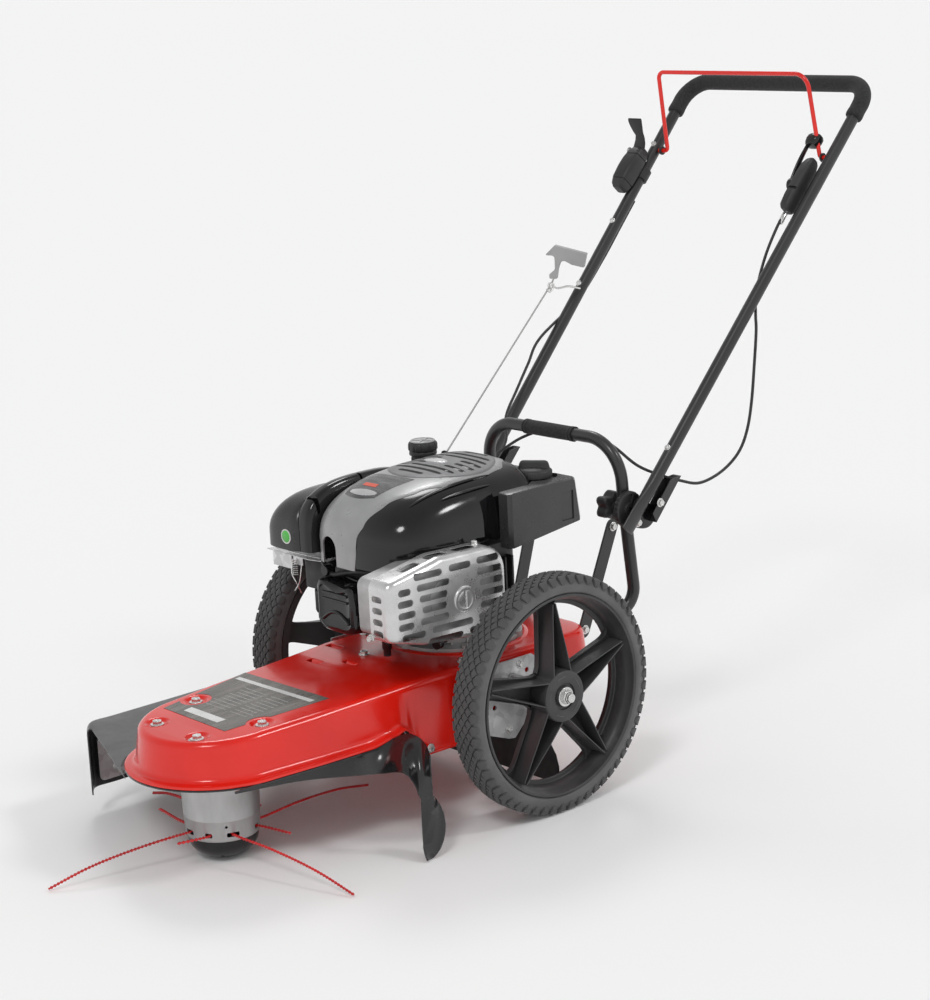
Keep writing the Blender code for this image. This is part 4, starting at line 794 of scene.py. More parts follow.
def rounded_rectangle(x, y, wide, deep, radius, steps=5):
    points = []
    for cx, cy, start in ((wide / 2, deep / 2, 0), (-wide / 2, deep / 2, 90), (-wide / 2, -deep / 2, 180),
                          (wide / 2, -deep / 2, 270)):
        for step in range(steps + 1):
            turn = math.radians(start + 90 * step / steps)
            points.append((x + cx - math.copysign(radius, cx) + radius * math.cos(turn),
                           y + cy - math.copysign(radius, cy) + radius * math.sin(turn)))
    return points


def window_cutter(x, y, wide, deep):
    return prism(rounded_rectangle(x, y, wide, deep, 0.003), 0.2, 0.28)


def window_tongue(index, x, y, wide, deep):
    """The pressed-up tongue that arches out of the rear edge of a belt window."""
    grid = []
    top = deck_top(y)
    for step in range(9):
        part = step / 8
        turn = math.pi * 0.62 * part
        row = []
        for across in range(9):
            u = across / 8 - 0.5
            arch = 1 - (2 * u) ** 4
            row.append((x + u * (wide - 0.006),
                        y + deep / 2 + 0.0005 - 0.0085 * math.sin(turn) * (0.35 + 0.65 * arch),
                        top - 0.0012 - 0.0065 * (1 - math.cos(turn)) * arch))
        grid.append(row)
    piece(f"belt_window_tongue_{index}", sheet(grid, 0.0018), "red", "chassis", angle=60)


def dimple(index, x, y):
    """Pressed dish under a spindle bolt, set flush in the deck top."""
    profile = [(0, -0.0068), (0.0216, -0.0024)]
    for step in range(13):
        part = step / 12
        profile.append((0.0216 - 0.01 * part, -0.00002 - 0.0046 * part * part * (3 - 2 * part)))
    profile.append((0, -0.00462))
    dish = lathe(profile, (x, y, 0), segments=48)
    for vertex in dish.verts:
        vertex.co.z += deck_top(vertex.co.y)
    piece(f"bolt_dimple_{index}", dish, "red", "chassis", angle=60)


def label():
    """Blank graphite plate with rounded corners, notched round the two rear dimples."""
    corners = [(-0.1, -0.029), (0.072, -0.033), (0.091, 0.163), (-0.13, 0.159)]
    notches = join(*(lathe([(0, 0.2), (0.0262, 0.2), (0.0262, 0.3), (0, 0.3)], (x, y, 0), segments=48)
                     for x, y in DECK_BOLTS[2:]))
    plate = prism(corners, 0.0, 0.0004)
    bmesh.ops.subdivide_edges(plate, edges=plate.edges, cuts=6, use_grid_fill=True)
    lay_on_deck(plate)
    piece("deck_label", plate, "label", "chassis", cuts=notches)
    bars = [prism([(-0.118, 0.129), (0.078, 0.133), (0.079, 0.143), (-0.119, 0.139)], 0.0003, 0.0006),
            prism([(-0.062, -0.016), (0.03, -0.017), (0.031, 0.0), (-0.064, 0.001)], 0.0003, 0.0006)]
    for bar_mesh in bars:
        lay_on_deck(bar_mesh)
    piece("deck_label_panels", join(*bars), "label_pale", "chassis")
    lines = []
    for row in range(9):
        y = 0.026 + 0.0105 * row
        for left, right in ((-0.06 - 0.004 * (row % 3), -0.006), (0.004, 0.05 + 0.003 * (row % 2))):
            lines.append(prism([(left, y), (right, y), (right, y + 0.0016), (left, y + 0.0016)], 0.0003,
                               0.0006))
            lay_on_deck(lines[-1])
    piece("deck_label_lines", join(*lines), "label_line", "chassis")


def lay_on_deck(bm):
    for vertex in bm.verts:
        vertex.co.z += deck_top(vertex.co.y) + 0.00005


# ---------------------------------------------------------------- guards and axle plates
WING_TOP, WING_ROUND = 0.1592, 0.012        # height of the left guard's wing, radius of its outer bend


def side_guard():
    """Left wing: flat shelf, rolled outer edge and skirt."""
    grid = []
    inner = [(-0.036, -0.1535), (-0.1, -0.118), (-0.138, -0.062), (-0.146, 0.02), (-0.148, 0.12),
             (-0.15, 0.225)]
    outer = [(-0.3, -0.052), (-0.33, -0.028), (-0.33, 0.01), (-0.33, 0.06), (-0.33, 0.13),
             (-0.33, 0.225)]
    for (xi, yi), (xo, yo) in zip(inner, outer):
        row = [(xi + (xo + WING_ROUND - xi) * k / 6, yi + (yo - yi) * k / 6, WING_TOP) for k in range(7)]
        for step in range(1, 7):
            turn = math.radians(15 * step)
            row.append((xo + WING_ROUND - WING_ROUND * math.sin(turn), yo,
                        WING_TOP - WING_ROUND + WING_ROUND * math.cos(turn)))
        row += [(xo, yo, z) for z in (0.13, 0.11, 0.085, 0.06, 0.042, 0.04)]
        grid.append(row)
    grid = spline_rows(grid, 0.01)
    piece("side_guard", sheet(grid, 0.0025), "black", "chassis", "side_guard", bevel=0.0005, angle=40)
    cutter = prism(rounded_rectangle(0.0085, 0.09, 0.058, 0.08, 0.01), -0.3272, -0.324, "X")
    heads = [lathe([(0, -0.0006), (0.0042, -0.0006), (0.0042, 0.0006), (0.0036, 0.002), (0.002, 0.0028),
                    (0, 0.003)], (-0.324, 0.01, z), (1, 0, 0), 24) for z in (0.07, 0.091, 0.112)]
    piece("line_cutter", join(cutter, *heads), "zinc", "chassis", "line_cutter", bevel=0.0003)


# Stations along the skirt of the rear guard, each with its upper and its lower edge.
SKIRT = [((0.146, -0.075, 0.162), (0.146, -0.075, 0.158)), ((0.147, 0.05, 0.162), (0.147, 0.05, 0.144)),
         ((0.153, 0.16, 0.162), (0.153, 0.16, 0.124)), ((0.161, 0.222, 0.167), (0.182, 0.191, 0.125)),
         ((0.178, 0.248, 0.175), (0.234, 0.191, 0.138)), ((0.205, 0.25, 0.177), (0.246, 0.203, 0.117)),
         ((0.232, 0.243, 0.172), (0.25, 0.21, 0.094)), ((0.264, 0.225, 0.164), (0.264, 0.225, 0.094))]
SKIRT_SWELL = 0.006                # how far the turned corner bulges out
LEG_ROOT = Vector((0.25, 0.21, 0.096))
LEG_HEIGHT = 0.102
LEG_ACROSS = Vector((0.66, 0.751, 0))
LEG_OUT = Vector((0.751, -0.66, 0.26))
LEG_FOLD = 0.022                   # width of the flat front at the root of the leg
LEG_LOBE = 0.0262                  # how far the curled rear edge swells
LEG_LEAN = 0.04


def leg_row(part):
    """Points across the curled leg, `part` of the way from its root to its tip."""
    left = 0.0004 + 0.007 * part ** 8
    fold = left + max(0.0008, LEG_FOLD * (1 - (part / 0.78) ** 2))
    trail = max(fold + 0.0004, 0.012 + LEG_LOBE * max(0.0, 1 - ((part - 0.47) / 0.53) ** 2) ** 0.7)
    lean = LEG_LEAN * part ** 1.2
    crown = 0.003 * min(1.0, (fold - left) / 0.01)
    front = [(left + (fold - left) * k / 6, lean + crown * math.sin(math.pi * k / 6)) for k in range(7)]
    curl = [(fold + (trail - fold) * k / 6, lean - 0.014 * math.sin(math.pi / 2 * k / 6))
            for k in range(1, 7)]
    drop = Vector((0, 0, LEG_HEIGHT * part))
    return [LEG_ROOT - drop + LEG_ACROSS * across + LEG_OUT * out for across, out in front + curl]


def rear_guard():
    """Black skirt under the right rim that sweeps out to the curled leg, and the wall behind the head."""
    bands = [(62.0, 0.314, 0.097, 0.156), (75.0, 0.318, 0.1, 0.157), (90.0, 0.312, 0.1, 0.158),
             (105.0, 0.312, 0.1, 0.158), (118.0, 0.312, 0.1, 0.1535), (134.0, 0.312, 0.1, 0.1535)]
    wall = []
    for angle, radius, low, high in bands:
        turn = math.radians(angle)
        row = [(radius * math.cos(turn), radius * math.sin(turn), low + (high - low) * k / 6)
               for k in range(7)]
        for back, rise in ((0.0012, 0.0014), (0.004, 0.0025), (0.02, 0.0025), (0.04, 0.0025)):
            row.append(((radius - back) * math.cos(turn), (radius - back) * math.sin(turn), high + rise))
        wall.append(row)
    piece("rear_guard_wall", sheet(spline_rows(wall, 0.01), -0.0025), "guard", "chassis", "rear_guard",
          bevel=0.0006, angle=45)
    skirt = []
    for index, (top, foot) in enumerate(SKIRT):
        swell = Vector((0.5, -0.55, 0.35)) * (SKIRT_SWELL if 2 < index < 7 else 0.0)
        skirt.append([Vector(top).lerp(Vector(foot), k / 10) + swell * math.sin(math.pi * k / 10)
                      for k in range(11)])
    piece("rear_guard_skirt", sheet(spline_rows(skirt, 0.008), -0.0022), "guard", "chassis", "rear_guard",
          bevel=0.0005, angle=60)
    leg = [leg_row(step / 40) for step in range(41)]
    piece("rear_guard_leg", sheet(leg, -0.0022), "guard", "chassis", "rear_guard", bevel=0.0005, angle=60)
    rim_edge = []
    for x, y, (nx, ny) in deck_half_outline():
        if y < 0.235:
            out = 0.0055 + interpolate(RIM_WIDTH, y)
            low = eased(RIM_HEIGHT, y)
            rim_edge.append([(x + nx * off, y + ny * off, low - drop)
                             for off, drop in ((out - 0.006, 0.0048), (out - 0.001, 0.005),
                                               (out + 0.0006, 0.0066), (out + 0.0002, 0.0085))])
    seal = sheet(rim_edge, 0.0016)
    mirror = sided(sheet(rim_edge, 0.0016), -1)
    piece("deck_edge_seal", join(seal, mirror), "guard", "chassis", angle=45)


def rear_flap():
    half = [(0.15, 0.118), (0.158, 0.095), (0.205, 0.088), (0.218, 0.07), (0.224, 0.05), (0.2245, 0.02)]
    outline = half + [(-x, z) for x, z in half[::-1]]
    flap = prism(outline, 0.538, 0.542, "Y")
    seam = rod([(-0.148, 0.54, 0.1165), (0.148, 0.54, 0.1165)], 0.0032, 16, (0, 0, 1))
    piece("rear_flap", join(flap, seam), "flap", "rear_flap", "rear_flap", bevel=0.0008)


def axle_plate(word, side):
    keep(f"axle_plate_{word}", "zinc", 0.0006)
    for index, (y, z) in enumerate(((0.48, 0.122), (0.405, 0.228), (0.512, 0.228))):
        place = (side * 0.1692, y, z)
        piece(f"plate_bolt_{word}_{index + 1}", hex_bolt(place, (side, 0, 0), 0.005, 0.0042, 0.0076),
              "bolt", "chassis", bevel=0.0003, angle=30)


# ---------------------------------------------------------------- drive and line head
LINES = [
    {"stub_exit": -58, "stub_tip": (0.01, -0.0975, 0.047), "long_exit": -96,
     "long_tip": (-0.079, -0.285, 0.0045)},
    {"stub_exit": 28, "stub_tip": (0.11, 0.053, 0.046), "long_exit": -20,
     "long_tip": (0.303, 0.022, 0.0045)},
    {"stub_exit": 100, "stub_tip": (-0.03, 0.098, 0.046), "long_exit": 62,
     "long_tip": (-0.01, 0.312, 0.026)},
    {"stub_exit": -138, "stub_tip": (-0.139, -0.0274, 0.048), "long_exit": 168,
     "long_tip": (-0.277, 0.052, 0.02)},
]
LINE_LAY = 0.012                   # length of one full twist of a nylon line


def line_section(sides=14, lobe=0.0017):
    """Two strands side by side."""
    shape = []
    for step in range(sides):
        turn = 2 * math.pi * step / sides
        shape.append(((0.001 + lobe * abs(math.cos(turn)) ** 0.7) * math.cos(turn),
                      0.00135 * math.sin(turn)))
    return shape


def trimmer_line(index, line):
    def at(angle, radius):
        turn = math.radians(angle)
        return Vector((radius * math.cos(turn), radius * math.sin(turn), 0.052))
    stub, long_end = line["stub_exit"], line["long_exit"]
    middle = (stub + long_end) / 2 + (180 if abs(stub - long_end) > 180 else 0)
    span = (long_end - middle + 180) % 360 - 180
    tip, start = Vector(line["long_tip"]), at(long_end, 0.061)
    droop = Vector((0, 0, 0.01))
    route = [Vector(line["stub_tip"]), at(stub, 0.062), at(middle - span * 0.55, 0.04), at(middle, 0.031),
             at(middle + span * 0.55, 0.04), at(long_end, 0.062),
             start + (tip - start) * 0.35 + droop * 0.75, start + (tip - start) * 0.7 + droop * 0.85, tip]
    step = 0.0013
    rings = sweep(smooth_curve(route, step), line_section(), (0, 0, 1), 2 * math.pi * step / LINE_LAY)
    piece(f"line_{index}", loft(rings), "line", "head", f"line_{index}", angle=70)


def head():
    cup = [(0.0103, 0.15), (0.05, 0.1525), (0.056, 0.1522), (0.061, 0.15), (0.0636, 0.1465), (0.064, 0.142),
           (0.0629, 0.105), (0.0622, 0.0765), (0.0625, 0.0755), (0.0625, 0.0745), (0.062, 0.0735),
           (0.0604, 0.044), (0.0598, 0.0412), (0.0588, 0.0402), (0.0576, 0.0405), (0.0575, 0.044),
           (0.0612, 0.139), (0.056, 0.147), (0.0103, 0.147)]
    cutters = []
    for line in LINES:
        for angle, wide in ((line["stub_exit"], 0.0062), (line["long_exit"], 0.0105)):
            slot = prism([(u * 0.5, v) for u, v in rounded_rectangle(0, 0.052, 4 * wide, 0.0075, 0.0034)],
                         0.045, 0.075, "Y")
            cutters.append(turned(slot, math.radians(angle - 90)))
    for angle in (-120, 0, 120):
        hole = lathe([(0, 0.045), (0.0024, 0.045), (0.0024, 0.075), (0, 0.075)], (0, 0, 0.066), (0, 1, 0),
                     16)
        cutters.append(turned(hole, math.radians(angle)))
    piece("head_drum", lathe(cup, segments=96, closed=True), "steel", "head", "head_drum", angle=35,
          cuts=join(*cutters))
    dome = [(0, 0.0003), (0.013, 0.0), (0.02, 0.0006), (0.03, 0.0035), (0.038, 0.0072), (0.044, 0.011),
            (0.049, 0.0158), (0.053, 0.021), (0.0558, 0.0262), (0.0572, 0.031), (0.0578, 0.0355),
            (0.0578, 0.0397), (0, 0.0397)]
    holes = []
    for index in range(6):
        turn = math.radians(60 * index + 20)
        holes.append(lathe([(0, -0.01), (0.003, -0.01), (0.003, 0.02), (0, 0.02)],
                           (0.044 * math.cos(turn), 0.044 * math.sin(turn), 0), segments=16))
    piece("glide_dome", lathe(dome, segments=72), "gloss", "head", "glide_dome", cuts=join(*holes),
          angle=40)
    for index, line in enumerate(LINES):
        trimmer_line(index + 1, line)
    shaft = [(0, 0.046), (0.01, 0.046), (0.01, 0.152), (0.025, 0.1528), (0.026, 0.154), (0.026, 0.16),
             (0.012, 0.166), (0.012, 0.182), (0.05, 0.1828), (0.051, 0.184), (0.0505, 0.1855),
             (0.0435, 0.1905), (0.0435, 0.1925), (0.0505, 0.1975), (0.051, 0.199), (0.05, 0.2),
             (0.01, 0.201), (0.01, 0.23), (0, 0.23)]
    piece("spindle_shaft", lathe(shaft, segments=48), "steel", "head", "spindle_shaft")
    keep("spindle_housing", "cast", 0.0006)
    keep("crank_pulley", "steel", 0.0004)
    keep("drive_belt", "belt", 0.0008)
    keep("idler_arm", "zinc", 0.0004)


# ---------------------------------------------------------------- engine top
SKIN_Y, SKIN_Z, SKIN_HIGH = 0.536, 0.4475, 0.107     # rear end of the front slope, foot and top of the dome
SKIN_FRONT, SKIN_REAR = 0.25, 0.074


def engine_skin(x, y, lift=0.0, z=None):
    """A point on the engine's rounded top; below its foot the front wall goes straight down to `z`."""
    def place(px, py):
        wide = 0.143 if px > 0 else 0.118
        across = min(abs(px) / wide, 1.0)
        fall = (1 - across ** 3.4) ** (1 / 3.4)
        shrink = 1 - 0.6 * (1 - fall)
        reach, power = (SKIN_FRONT, 2.6) if py < SKIN_Y else (SKIN_REAR, 9.0)
        along = min(abs(py - SKIN_Y) / reach, 1.0)
        rise = (1 - along ** power) ** (1 / power)
        return Vector((px, SKIN_Y + (py - SKIN_Y) * shrink, SKIN_Z + SKIN_HIGH * fall * rise))
    point = place(x, y)
    if z is not None:
        return Vector((point.x, point.y - lift, z))
    if not lift:
        return point
    step = 0.0015
    along = place(x, y + step) - place(x, y - step)
    across = place(x + step, y) - place(x - step, y)
    normal = across.cross(along)
    normal = normal.normalized() if normal.length > 1e-12 else Vector((0, 0, 1))
    return point + normal * lift


def skin_stations(start, end, count):
    """Values of y crowded towards the steep front of the dome."""
    result = []
    for step in range(count + 1):
        part = step / count
        result.append(start + (end - start) * (0.35 * part + 0.65 * part ** 2.4))
    return result


def blower_cover():
    """Glossy cover: dome with big shoulders, a recessed strip before the tank and two long ridges."""
    front = SKIN_Y - SKIN_FRONT
    columns = [math.sin(math.radians(a)) for a in range(-90, 91, 6)]
    columns = [0.143 * c if c > 0 else 0.118 * c for c in columns]
    rows = [[engine_skin(x, front, 0.0, z) for x in columns] for z in (0.42, 0.425, 0.436)]
    rows += [[engine_skin(x, y) for x in columns] for y in skin_stations(front, SKIN_Y, 34)]
    rows += [[engine_skin(x, SKIN_Y + SKIN_REAR * part) for x in columns]
             for part in (0.15, 0.35, 0.55, 0.7, 0.8, 0.87, 0.92, 0.96, 0.985, 1.0)]
    bm = bmesh.new()
    verts = [[bm.verts.new(point) for point in row] for row in rows]
    for low, high in zip(verts, verts[1:]):
        for k in range(len(columns) - 1):
            bm.faces.new((low[k], low[k + 1], high[k + 1], high[k]))
    right, left = [row[-1] for row in verts[1:]], [row[0] for row in verts[-2:0:-1]]
    loop = verts[0] + right + verts[-1][-2::-1] + left
    floor = []
    for vertex in loop:
        x, y = vertex.co.x, vertex.co.y
        side = min(1.0, max(0.0, (y - 0.33) / 0.2))
        low = 0.4185 + 0.028 * side if x > 0 else 0.4185
        floor.append(bm.verts.new((x * 0.985, 0.45 + (y - 0.45) * 0.985, low)))
    count = len(loop)
    for k in range(count):
        bm.faces.new((loop[k], loop[(k + 1) % count], floor[(k + 1) % count], floor[k]))
    bm.faces.new(floor)
    bmesh.ops.remove_doubles(bm, verts=bm.verts, dist=1e-6)
    groove = box((0.129, 0.47, 0.4), (0.16, 0.502, 0.53))
    tunnel = prism(arch_outline(-0.044, 0.0225, 0.4, 0.465), 0.27, 0.325, "Y")
    notch = prism([(0.43, 0.4), (0.5, 0.4), (0.5, 0.452), (0.452, 0.456), (0.436, 0.446)], 0.12, 0.16,
                  "X")
    piece("blower_cover", bm, "gloss", "chassis", "blower_cover", angle=50,
          cuts=join(groove, tunnel, notch))
    ridges = []
    for x, y0, y1 in ((0.095, 0.34, 0.525), (0.115, 0.385, 0.505)):
        path, count = [], 26
        for step in range(count + 1):
            path.append(engine_skin(x + 0.004 * step / count, y0 + (y1 - y0) * step / count, 0.0004))

        def shape(index, count=count):
            swell = max(0.03, abs(math.sin(math.pi * index / count)) ** 0.45)
            return circle(0.003 * swell, 14, 1.6, 0.8)
        ridges.append(loft(sweep(path, shape, (0, 0, 1))))
    piece("cover_ridges", join(*ridges), "gloss", "chassis", angle=60)


def arch_outline(middle, half, low, high, steps=12):
    """Upright slot outline with a round top."""
    outline = [(middle - half, low), (middle + half, low)]
    for step in range(steps + 1):
        turn = math.pi * step / steps
        outline.append((middle + half * math.cos(turn), high - half + half * math.sin(turn)))
    return outline


BAND_EDGES = [(0.286, -0.093, 0.029), (0.296, -0.093, 0.04), (0.33, -0.094, 0.056), (0.38, -0.096, 0.078),
              (0.43, -0.098, 0.094), (0.5, -0.101, 0.102), (0.56, -0.086, 0.092), (0.59, -0.06, 0.068),
              (0.6045, -0.038, 0.046)]


def engine_band():
    """Silver panel over the dome with an arch at its foot."""
    front = SKIN_Y - SKIN_FRONT
    across = 28
    grid = []

    def row(y, z=None):
        left = eased([(a, b) for a, b, c in BAND_EDGES], y)
        right = eased([(a, c) for a, b, c in BAND_EDGES], y)
        if z is not None:
            right -= 0.006 * (SKIN_Z - z) / 0.03
        line = []
        for k in range(across + 1):
            part = k / across
            lift = 0.0016 - 0.0012 * max(0.0, abs(part - 0.5) * 2 - 0.96) / 0.04
            line.append(engine_skin(left + (right - left) * part, y, lift, z))
        return line
    for z in (0.415, 0.423, 0.43, 0.437, 0.443):
        grid.append(row(front + 0.0001, z))
    for y in skin_stations(front + 0.0002, 0.5, 44):
        grid.append(row(y))
    for step in range(1, 15):
        grid.append(row(0.5 + 0.1045 * step / 14))
    arch = prism(arch_outline(-0.044, 0.0208, 0.4, 0.464), 0.27, 0.3, "Y")
    piece("engine_band", sheet(grid, 0.003), "band", "chassis", "engine_band", angle=50, cuts=arch)
    # A black plate at the back of the arch's tunnel: painted shade.
    tube = prism(arch_outline(-0.044, 0.022, 0.419, 0.4645), 0.3245, 0.326, "Y")
    piece("arch_painted_shade", tube, "dark", "chassis")


def skin_patch(outline_at, rows, columns, lift, thick):
    """A closed panel laid on the dome; outline_at(u, v) gives (x, y)."""
    grid = []
    for r in range(rows + 1):
        line = []
        for c in range(columns + 1):
            x, y = outline_at(c / columns, r / rows)
            line.append(engine_skin(x, y, lift))
        grid.append(line)
    return sheet(grid, thick)


def grille():
    """Round intake grille with nine curved slots over a black disc of painted shade, and a blank oval
    badge.
    """
    centre, radius = Vector((0.0, 0.506)), 0.093
    bm = bmesh.new()
    rings = []
    turns = 96
    for share, lift in ((0.22, 0.003), (0.45, 0.003), (0.65, 0.003), (0.82, 0.003), (0.93, 0.003),
                        (0.965, 0.003), (0.985, 0.0026), (1.0, 0.0016), (1.0, -0.0008)):
        rings.append([engine_skin(centre.x + radius * share * math.cos(2 * math.pi * k / turns),
                                  centre.y + radius * share * math.sin(2 * math.pi * k / turns), lift)
                      for k in range(turns)])
    inner = [[point - Vector((0, 0, 0.0035)) for point in ring] for ring in rings[:6]]
    top = [[bm.verts.new(p) for p in ring] for ring in rings + inner[::-1]]
    for low, high in zip(top, top[1:]):
        for k in range(turns):
            after = (k + 1) % turns
            bm.faces.new((low[k], low[after], high[after], high[k]))
    bm.faces.new(top[0])
    bm.faces.new(top[-1])
    cutters = []
    for index in range(9):
        y = centre.y - 0.074 + 0.0185 * index
        half = math.sqrt(max(0.0, 0.08 ** 2 - (y - centre.y) ** 2))
        spans = [(-half, half)]
        if index in (3, 4, 5):
            gap = 0.03 if index == 4 else 0.024
            spans = [(-half, -gap), (gap, half)]
        for left, right in spans:
            if right - left < 0.012:
                continue
            path = [(left + (right - left) * k / 14,
                     y + 0.006 * math.cos((left + (right - left) * k / 14) * 18), 0.55)
                    for k in range(15)]

            def slot(k):
                end = min(k, 14 - k)
                return bar(0.0088 if end > 0 else 0.005, 0.06)
            cutters.append(loft(sweep(path, slot, (0, 0, 1))))
    piece("intake_grille", bm, "grille", "chassis", angle=40, cuts=join(*cutters))
    # A black disc just under the grille: painted shade seen through the slots.
    well = [[engine_skin(centre.x + 0.088 * share * math.cos(2 * math.pi * k / 48),
                         centre.y + 0.088 * share * math.sin(2 * math.pi * k / 48), 0.0018)
             for k in range(48)]
            for share in (0.2, 0.5, 0.8, 1.0)]
    under = [[point - Vector((0, 0, 0.001)) for point in ring] for ring in well[::-1]]
    piece("grille_painted_shade", loft(well + under), "dark", "chassis")
    badge = []
    for share, lift in ((0.3, 0.0046), (0.7, 0.0044), (0.92, 0.004), (1.0, 0.003), (1.0, 0.0015)):
        badge.append([engine_skin(-0.016 + 0.027 * share * math.cos(2 * math.pi * k / 40),
                                  0.508 + 0.0125 * share * math.sin(2 * math.pi * k / 40), lift)
                      for k in range(40)])
    piece("grille_badge", loft(badge), "pale_badge", "chassis", angle=50)


def decals():
    """Blank trapezoid panel on the front slope with a paler lens at its lower edge."""
    def trapezoid(u, v):
        left = -0.056 - 0.033 * v
        right = 0.019 + 0.019 * v
        x = left + (right - left) * u
        return x, 0.336 + 0.072 * v - 0.006 * (1 - v) * math.sin(math.pi * u) + 0.004 * u

    def lens(u, v):
        x = -0.05 + 0.064 * u
        swell = abs(math.sin(math.pi * min(max(u, 0.02), 0.98))) ** 0.6
        return x, 0.344 + 0.003 * u - 0.0065 * swell + 0.013 * swell * v + 0.003 * v
    piece("front_panel", skin_patch(trapezoid, 16, 20, 0.0021, 0.0012), "badge", "chassis", angle=60)
    piece("front_panel_lens", skin_patch(lens, 8, 20, 0.0025, 0.0012), "pale_badge", "chassis", angle=60)
    stripe = skin_patch(lambda u, v: (-0.04 + 0.034 * u - 0.002 * v, 0.364 + 0.0095 * v), 4, 10, 0.0025,
                        0.0012)
    piece("front_panel_stripe", stripe, "stripe", "chassis", angle=60)
    seam = [engine_skin(x, y, 0.0018) for x, y in ((-0.093, 0.2864), (-0.0935, 0.31), (-0.095, 0.36),
                                                   (-0.098, 0.43))]
    piece("band_seam", rod(smooth_curve(seam, 0.008), 0.0011, 8), "dark", "chassis")


def lobe(name, centre, reach, front, rear, foot, high, mat, cuts=None):
    """Rounded moulding: a dome on straight walls; front and rear are its extents in y."""
    rows = []
    middle = centre[1]
    turns = 28

    def row(part, low=None):
        line = []
        for k in range(turns + 1):
            u = -math.cos(math.pi * k / turns)
            wide = reach[0] if u < 0 else reach[1]
            across = abs(u) ** 0.8
            fall = (1 - across ** 3.2) ** (1 / 3.2)
            along = abs(part)
            rise = (1 - along ** 2.8) ** (1 / 2.8)
            length = (middle - front) if part < 0 else (rear - middle)
            shrink = 1 - 0.18 * (1 - fall)
            y = middle + length * part * shrink
            z = low if low is not None else foot + high * fall * rise
            line.append((centre[0] + math.copysign(across, u) * wide, y, z))
        return line
    rows.append(row(-1.0, foot - 0.022))
    for step in range(41):
        rows.append(row(math.sin(math.pi * (step / 40 - 0.5))))
    rows.append(row(1.0, foot - 0.022))
    bm = bmesh.new()
    verts = [[bm.verts.new(point) for point in line] for line in rows]
    for low, top in zip(verts, verts[1:]):
        for k in range(turns):
            bm.faces.new((low[k], low[k + 1], top[k + 1], top[k]))
    for edge, side in ((0, [line[0] for line in verts]), (1, [line[-1] for line in verts])):
        below = [bm.verts.new((v.co.x, v.co.y, foot - 0.022)) for v in side[1:-1]]
        chain = [side[0]] + below + [side[-1]]
        for k in range(1, len(side) - 2):
            bm.faces.new((side[k], side[k + 1], chain[k + 1], chain[k]))
        bm.faces.new((side[0], side[1], chain[1]))
        bm.faces.new((side[-1], side[-2], chain[-2]))
        if edge == 0:
            first = chain
        else:
            bm.faces.new(verts[0][1:-1] + chain + verts[-1][-2:0:-1] + first[::-1])
    bmesh.ops.remove_doubles(bm, verts=bm.verts, dist=1e-6)
    return piece(name, bm, mat, "chassis", angle=50, cuts=cuts)


def filter_cover():
    slots = join(prism(rounded_rectangle(-0.112, 0.312, 0.03, 0.007, 0.0025), 0.47, 0.56),
                 prism(rounded_rectangle(-0.104, 0.412, 0.02, 0.005, 0.002), 0.5, 0.56))
    cover = lobe("air_filter_cover", (-0.15, 0.4), (0.062, 0.03), 0.279, 0.5, 0.447, 0.072, "tank")
    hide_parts("air_filter_cover")
    lobe("cover_left_shoulder", (-0.113, 0.43), (0.03, 0.018), 0.286, 0.56, 0.447, 0.093, "gloss", slots)
    disc = lathe([(0, -0.0008), (0.0105, -0.0008), (0.011, 0.0), (0.0104, 0.0007), (0, 0.0007)],
                 (-0.15, 0.2786, 0.449), (0, -1, 0), 40)
    ring = lathe([(0.0106, -0.0008), (0.0128, -0.0008), (0.0128, 0.0005), (0.0106, 0.0005)],
                 (-0.15, 0.2786, 0.449), (0, -1, 0), 40, closed=True)
    piece("filter_dot", disc, "green", "chassis", angle=50)
    piece("filter_dot_ring", ring, "label_pale", "chassis", angle=50)


def fuel_tank():
    """Tank with drafted walls, softened corners and a well round the filler."""
    outline = [(0.166, 0.503), (0.172, 0.509), (0.172, 0.654), (0.16, 0.666), (-0.06, 0.666),
               (-0.079, 0.65), (-0.079, 0.612), (0.095, 0.608), (0.129, 0.596), (0.145, 0.57),
               (0.145, 0.503)]
    rings = []
    for z, grow in ((0.43, -0.001), (0.432, 0.0), (0.519, 0.0), (0.5225, -0.0016), (0.524, -0.005)):
        ring = []
        for x, y in outline:
            cx, cy = 0.105, 0.62
            reach = math.hypot(x - cx, y - cy)
            low = 0.02 * max(0.0, (y - 0.503) / 0.163) if z < 0.44 else 0.0
            lean = 0.01 * (0.524 - z) / 0.094 if y > 0.62 else 0.0
            ring.append((cx + (x - cx) * (1 + grow / reach), cy + (y - cy) * (1 + grow / reach) + lean,
                         z + low))
        rings.append(ring)
    well = lathe([(0, 0.512), (0.035, 0.512), (0.039, 0.516), (0.04, 0.53), (0, 0.53)], FUEL_CAP,
                 segments=64)
    slot = box((0.1695, 0.622, 0.455), (0.18, 0.65, 0.505))
    piece("fuel_tank", loft(rings), "tank", "chassis", "fuel_tank", bevel=0.0022, steps=3,
          cuts=join(well, slot))
    neck = lathe([(0.0, 0.5122), (0.023, 0.5122), (0.023, 0.515), (0.019, 0.516), (0.019, 0.5222),
                  (0, 0.5222)], FUEL_CAP, segments=48)
    piece("filler_neck", neck, "matt", "chassis")
    shelf = [[(-0.08, 0.606, 0.508), (0.095, 0.602, 0.508), (0.14, 0.58, 0.508), (0.143, 0.53, 0.508)],
             [(-0.07, 0.59, 0.533), (0.085, 0.59, 0.533), (0.118, 0.565, 0.53), (0.124, 0.52, 0.525)]]
    piece("tank_fairing", sheet(spline_rows([[r[k] for r in shelf] for k in range(4)], 0.006), 0.003),
          "gloss", "chassis", angle=50)


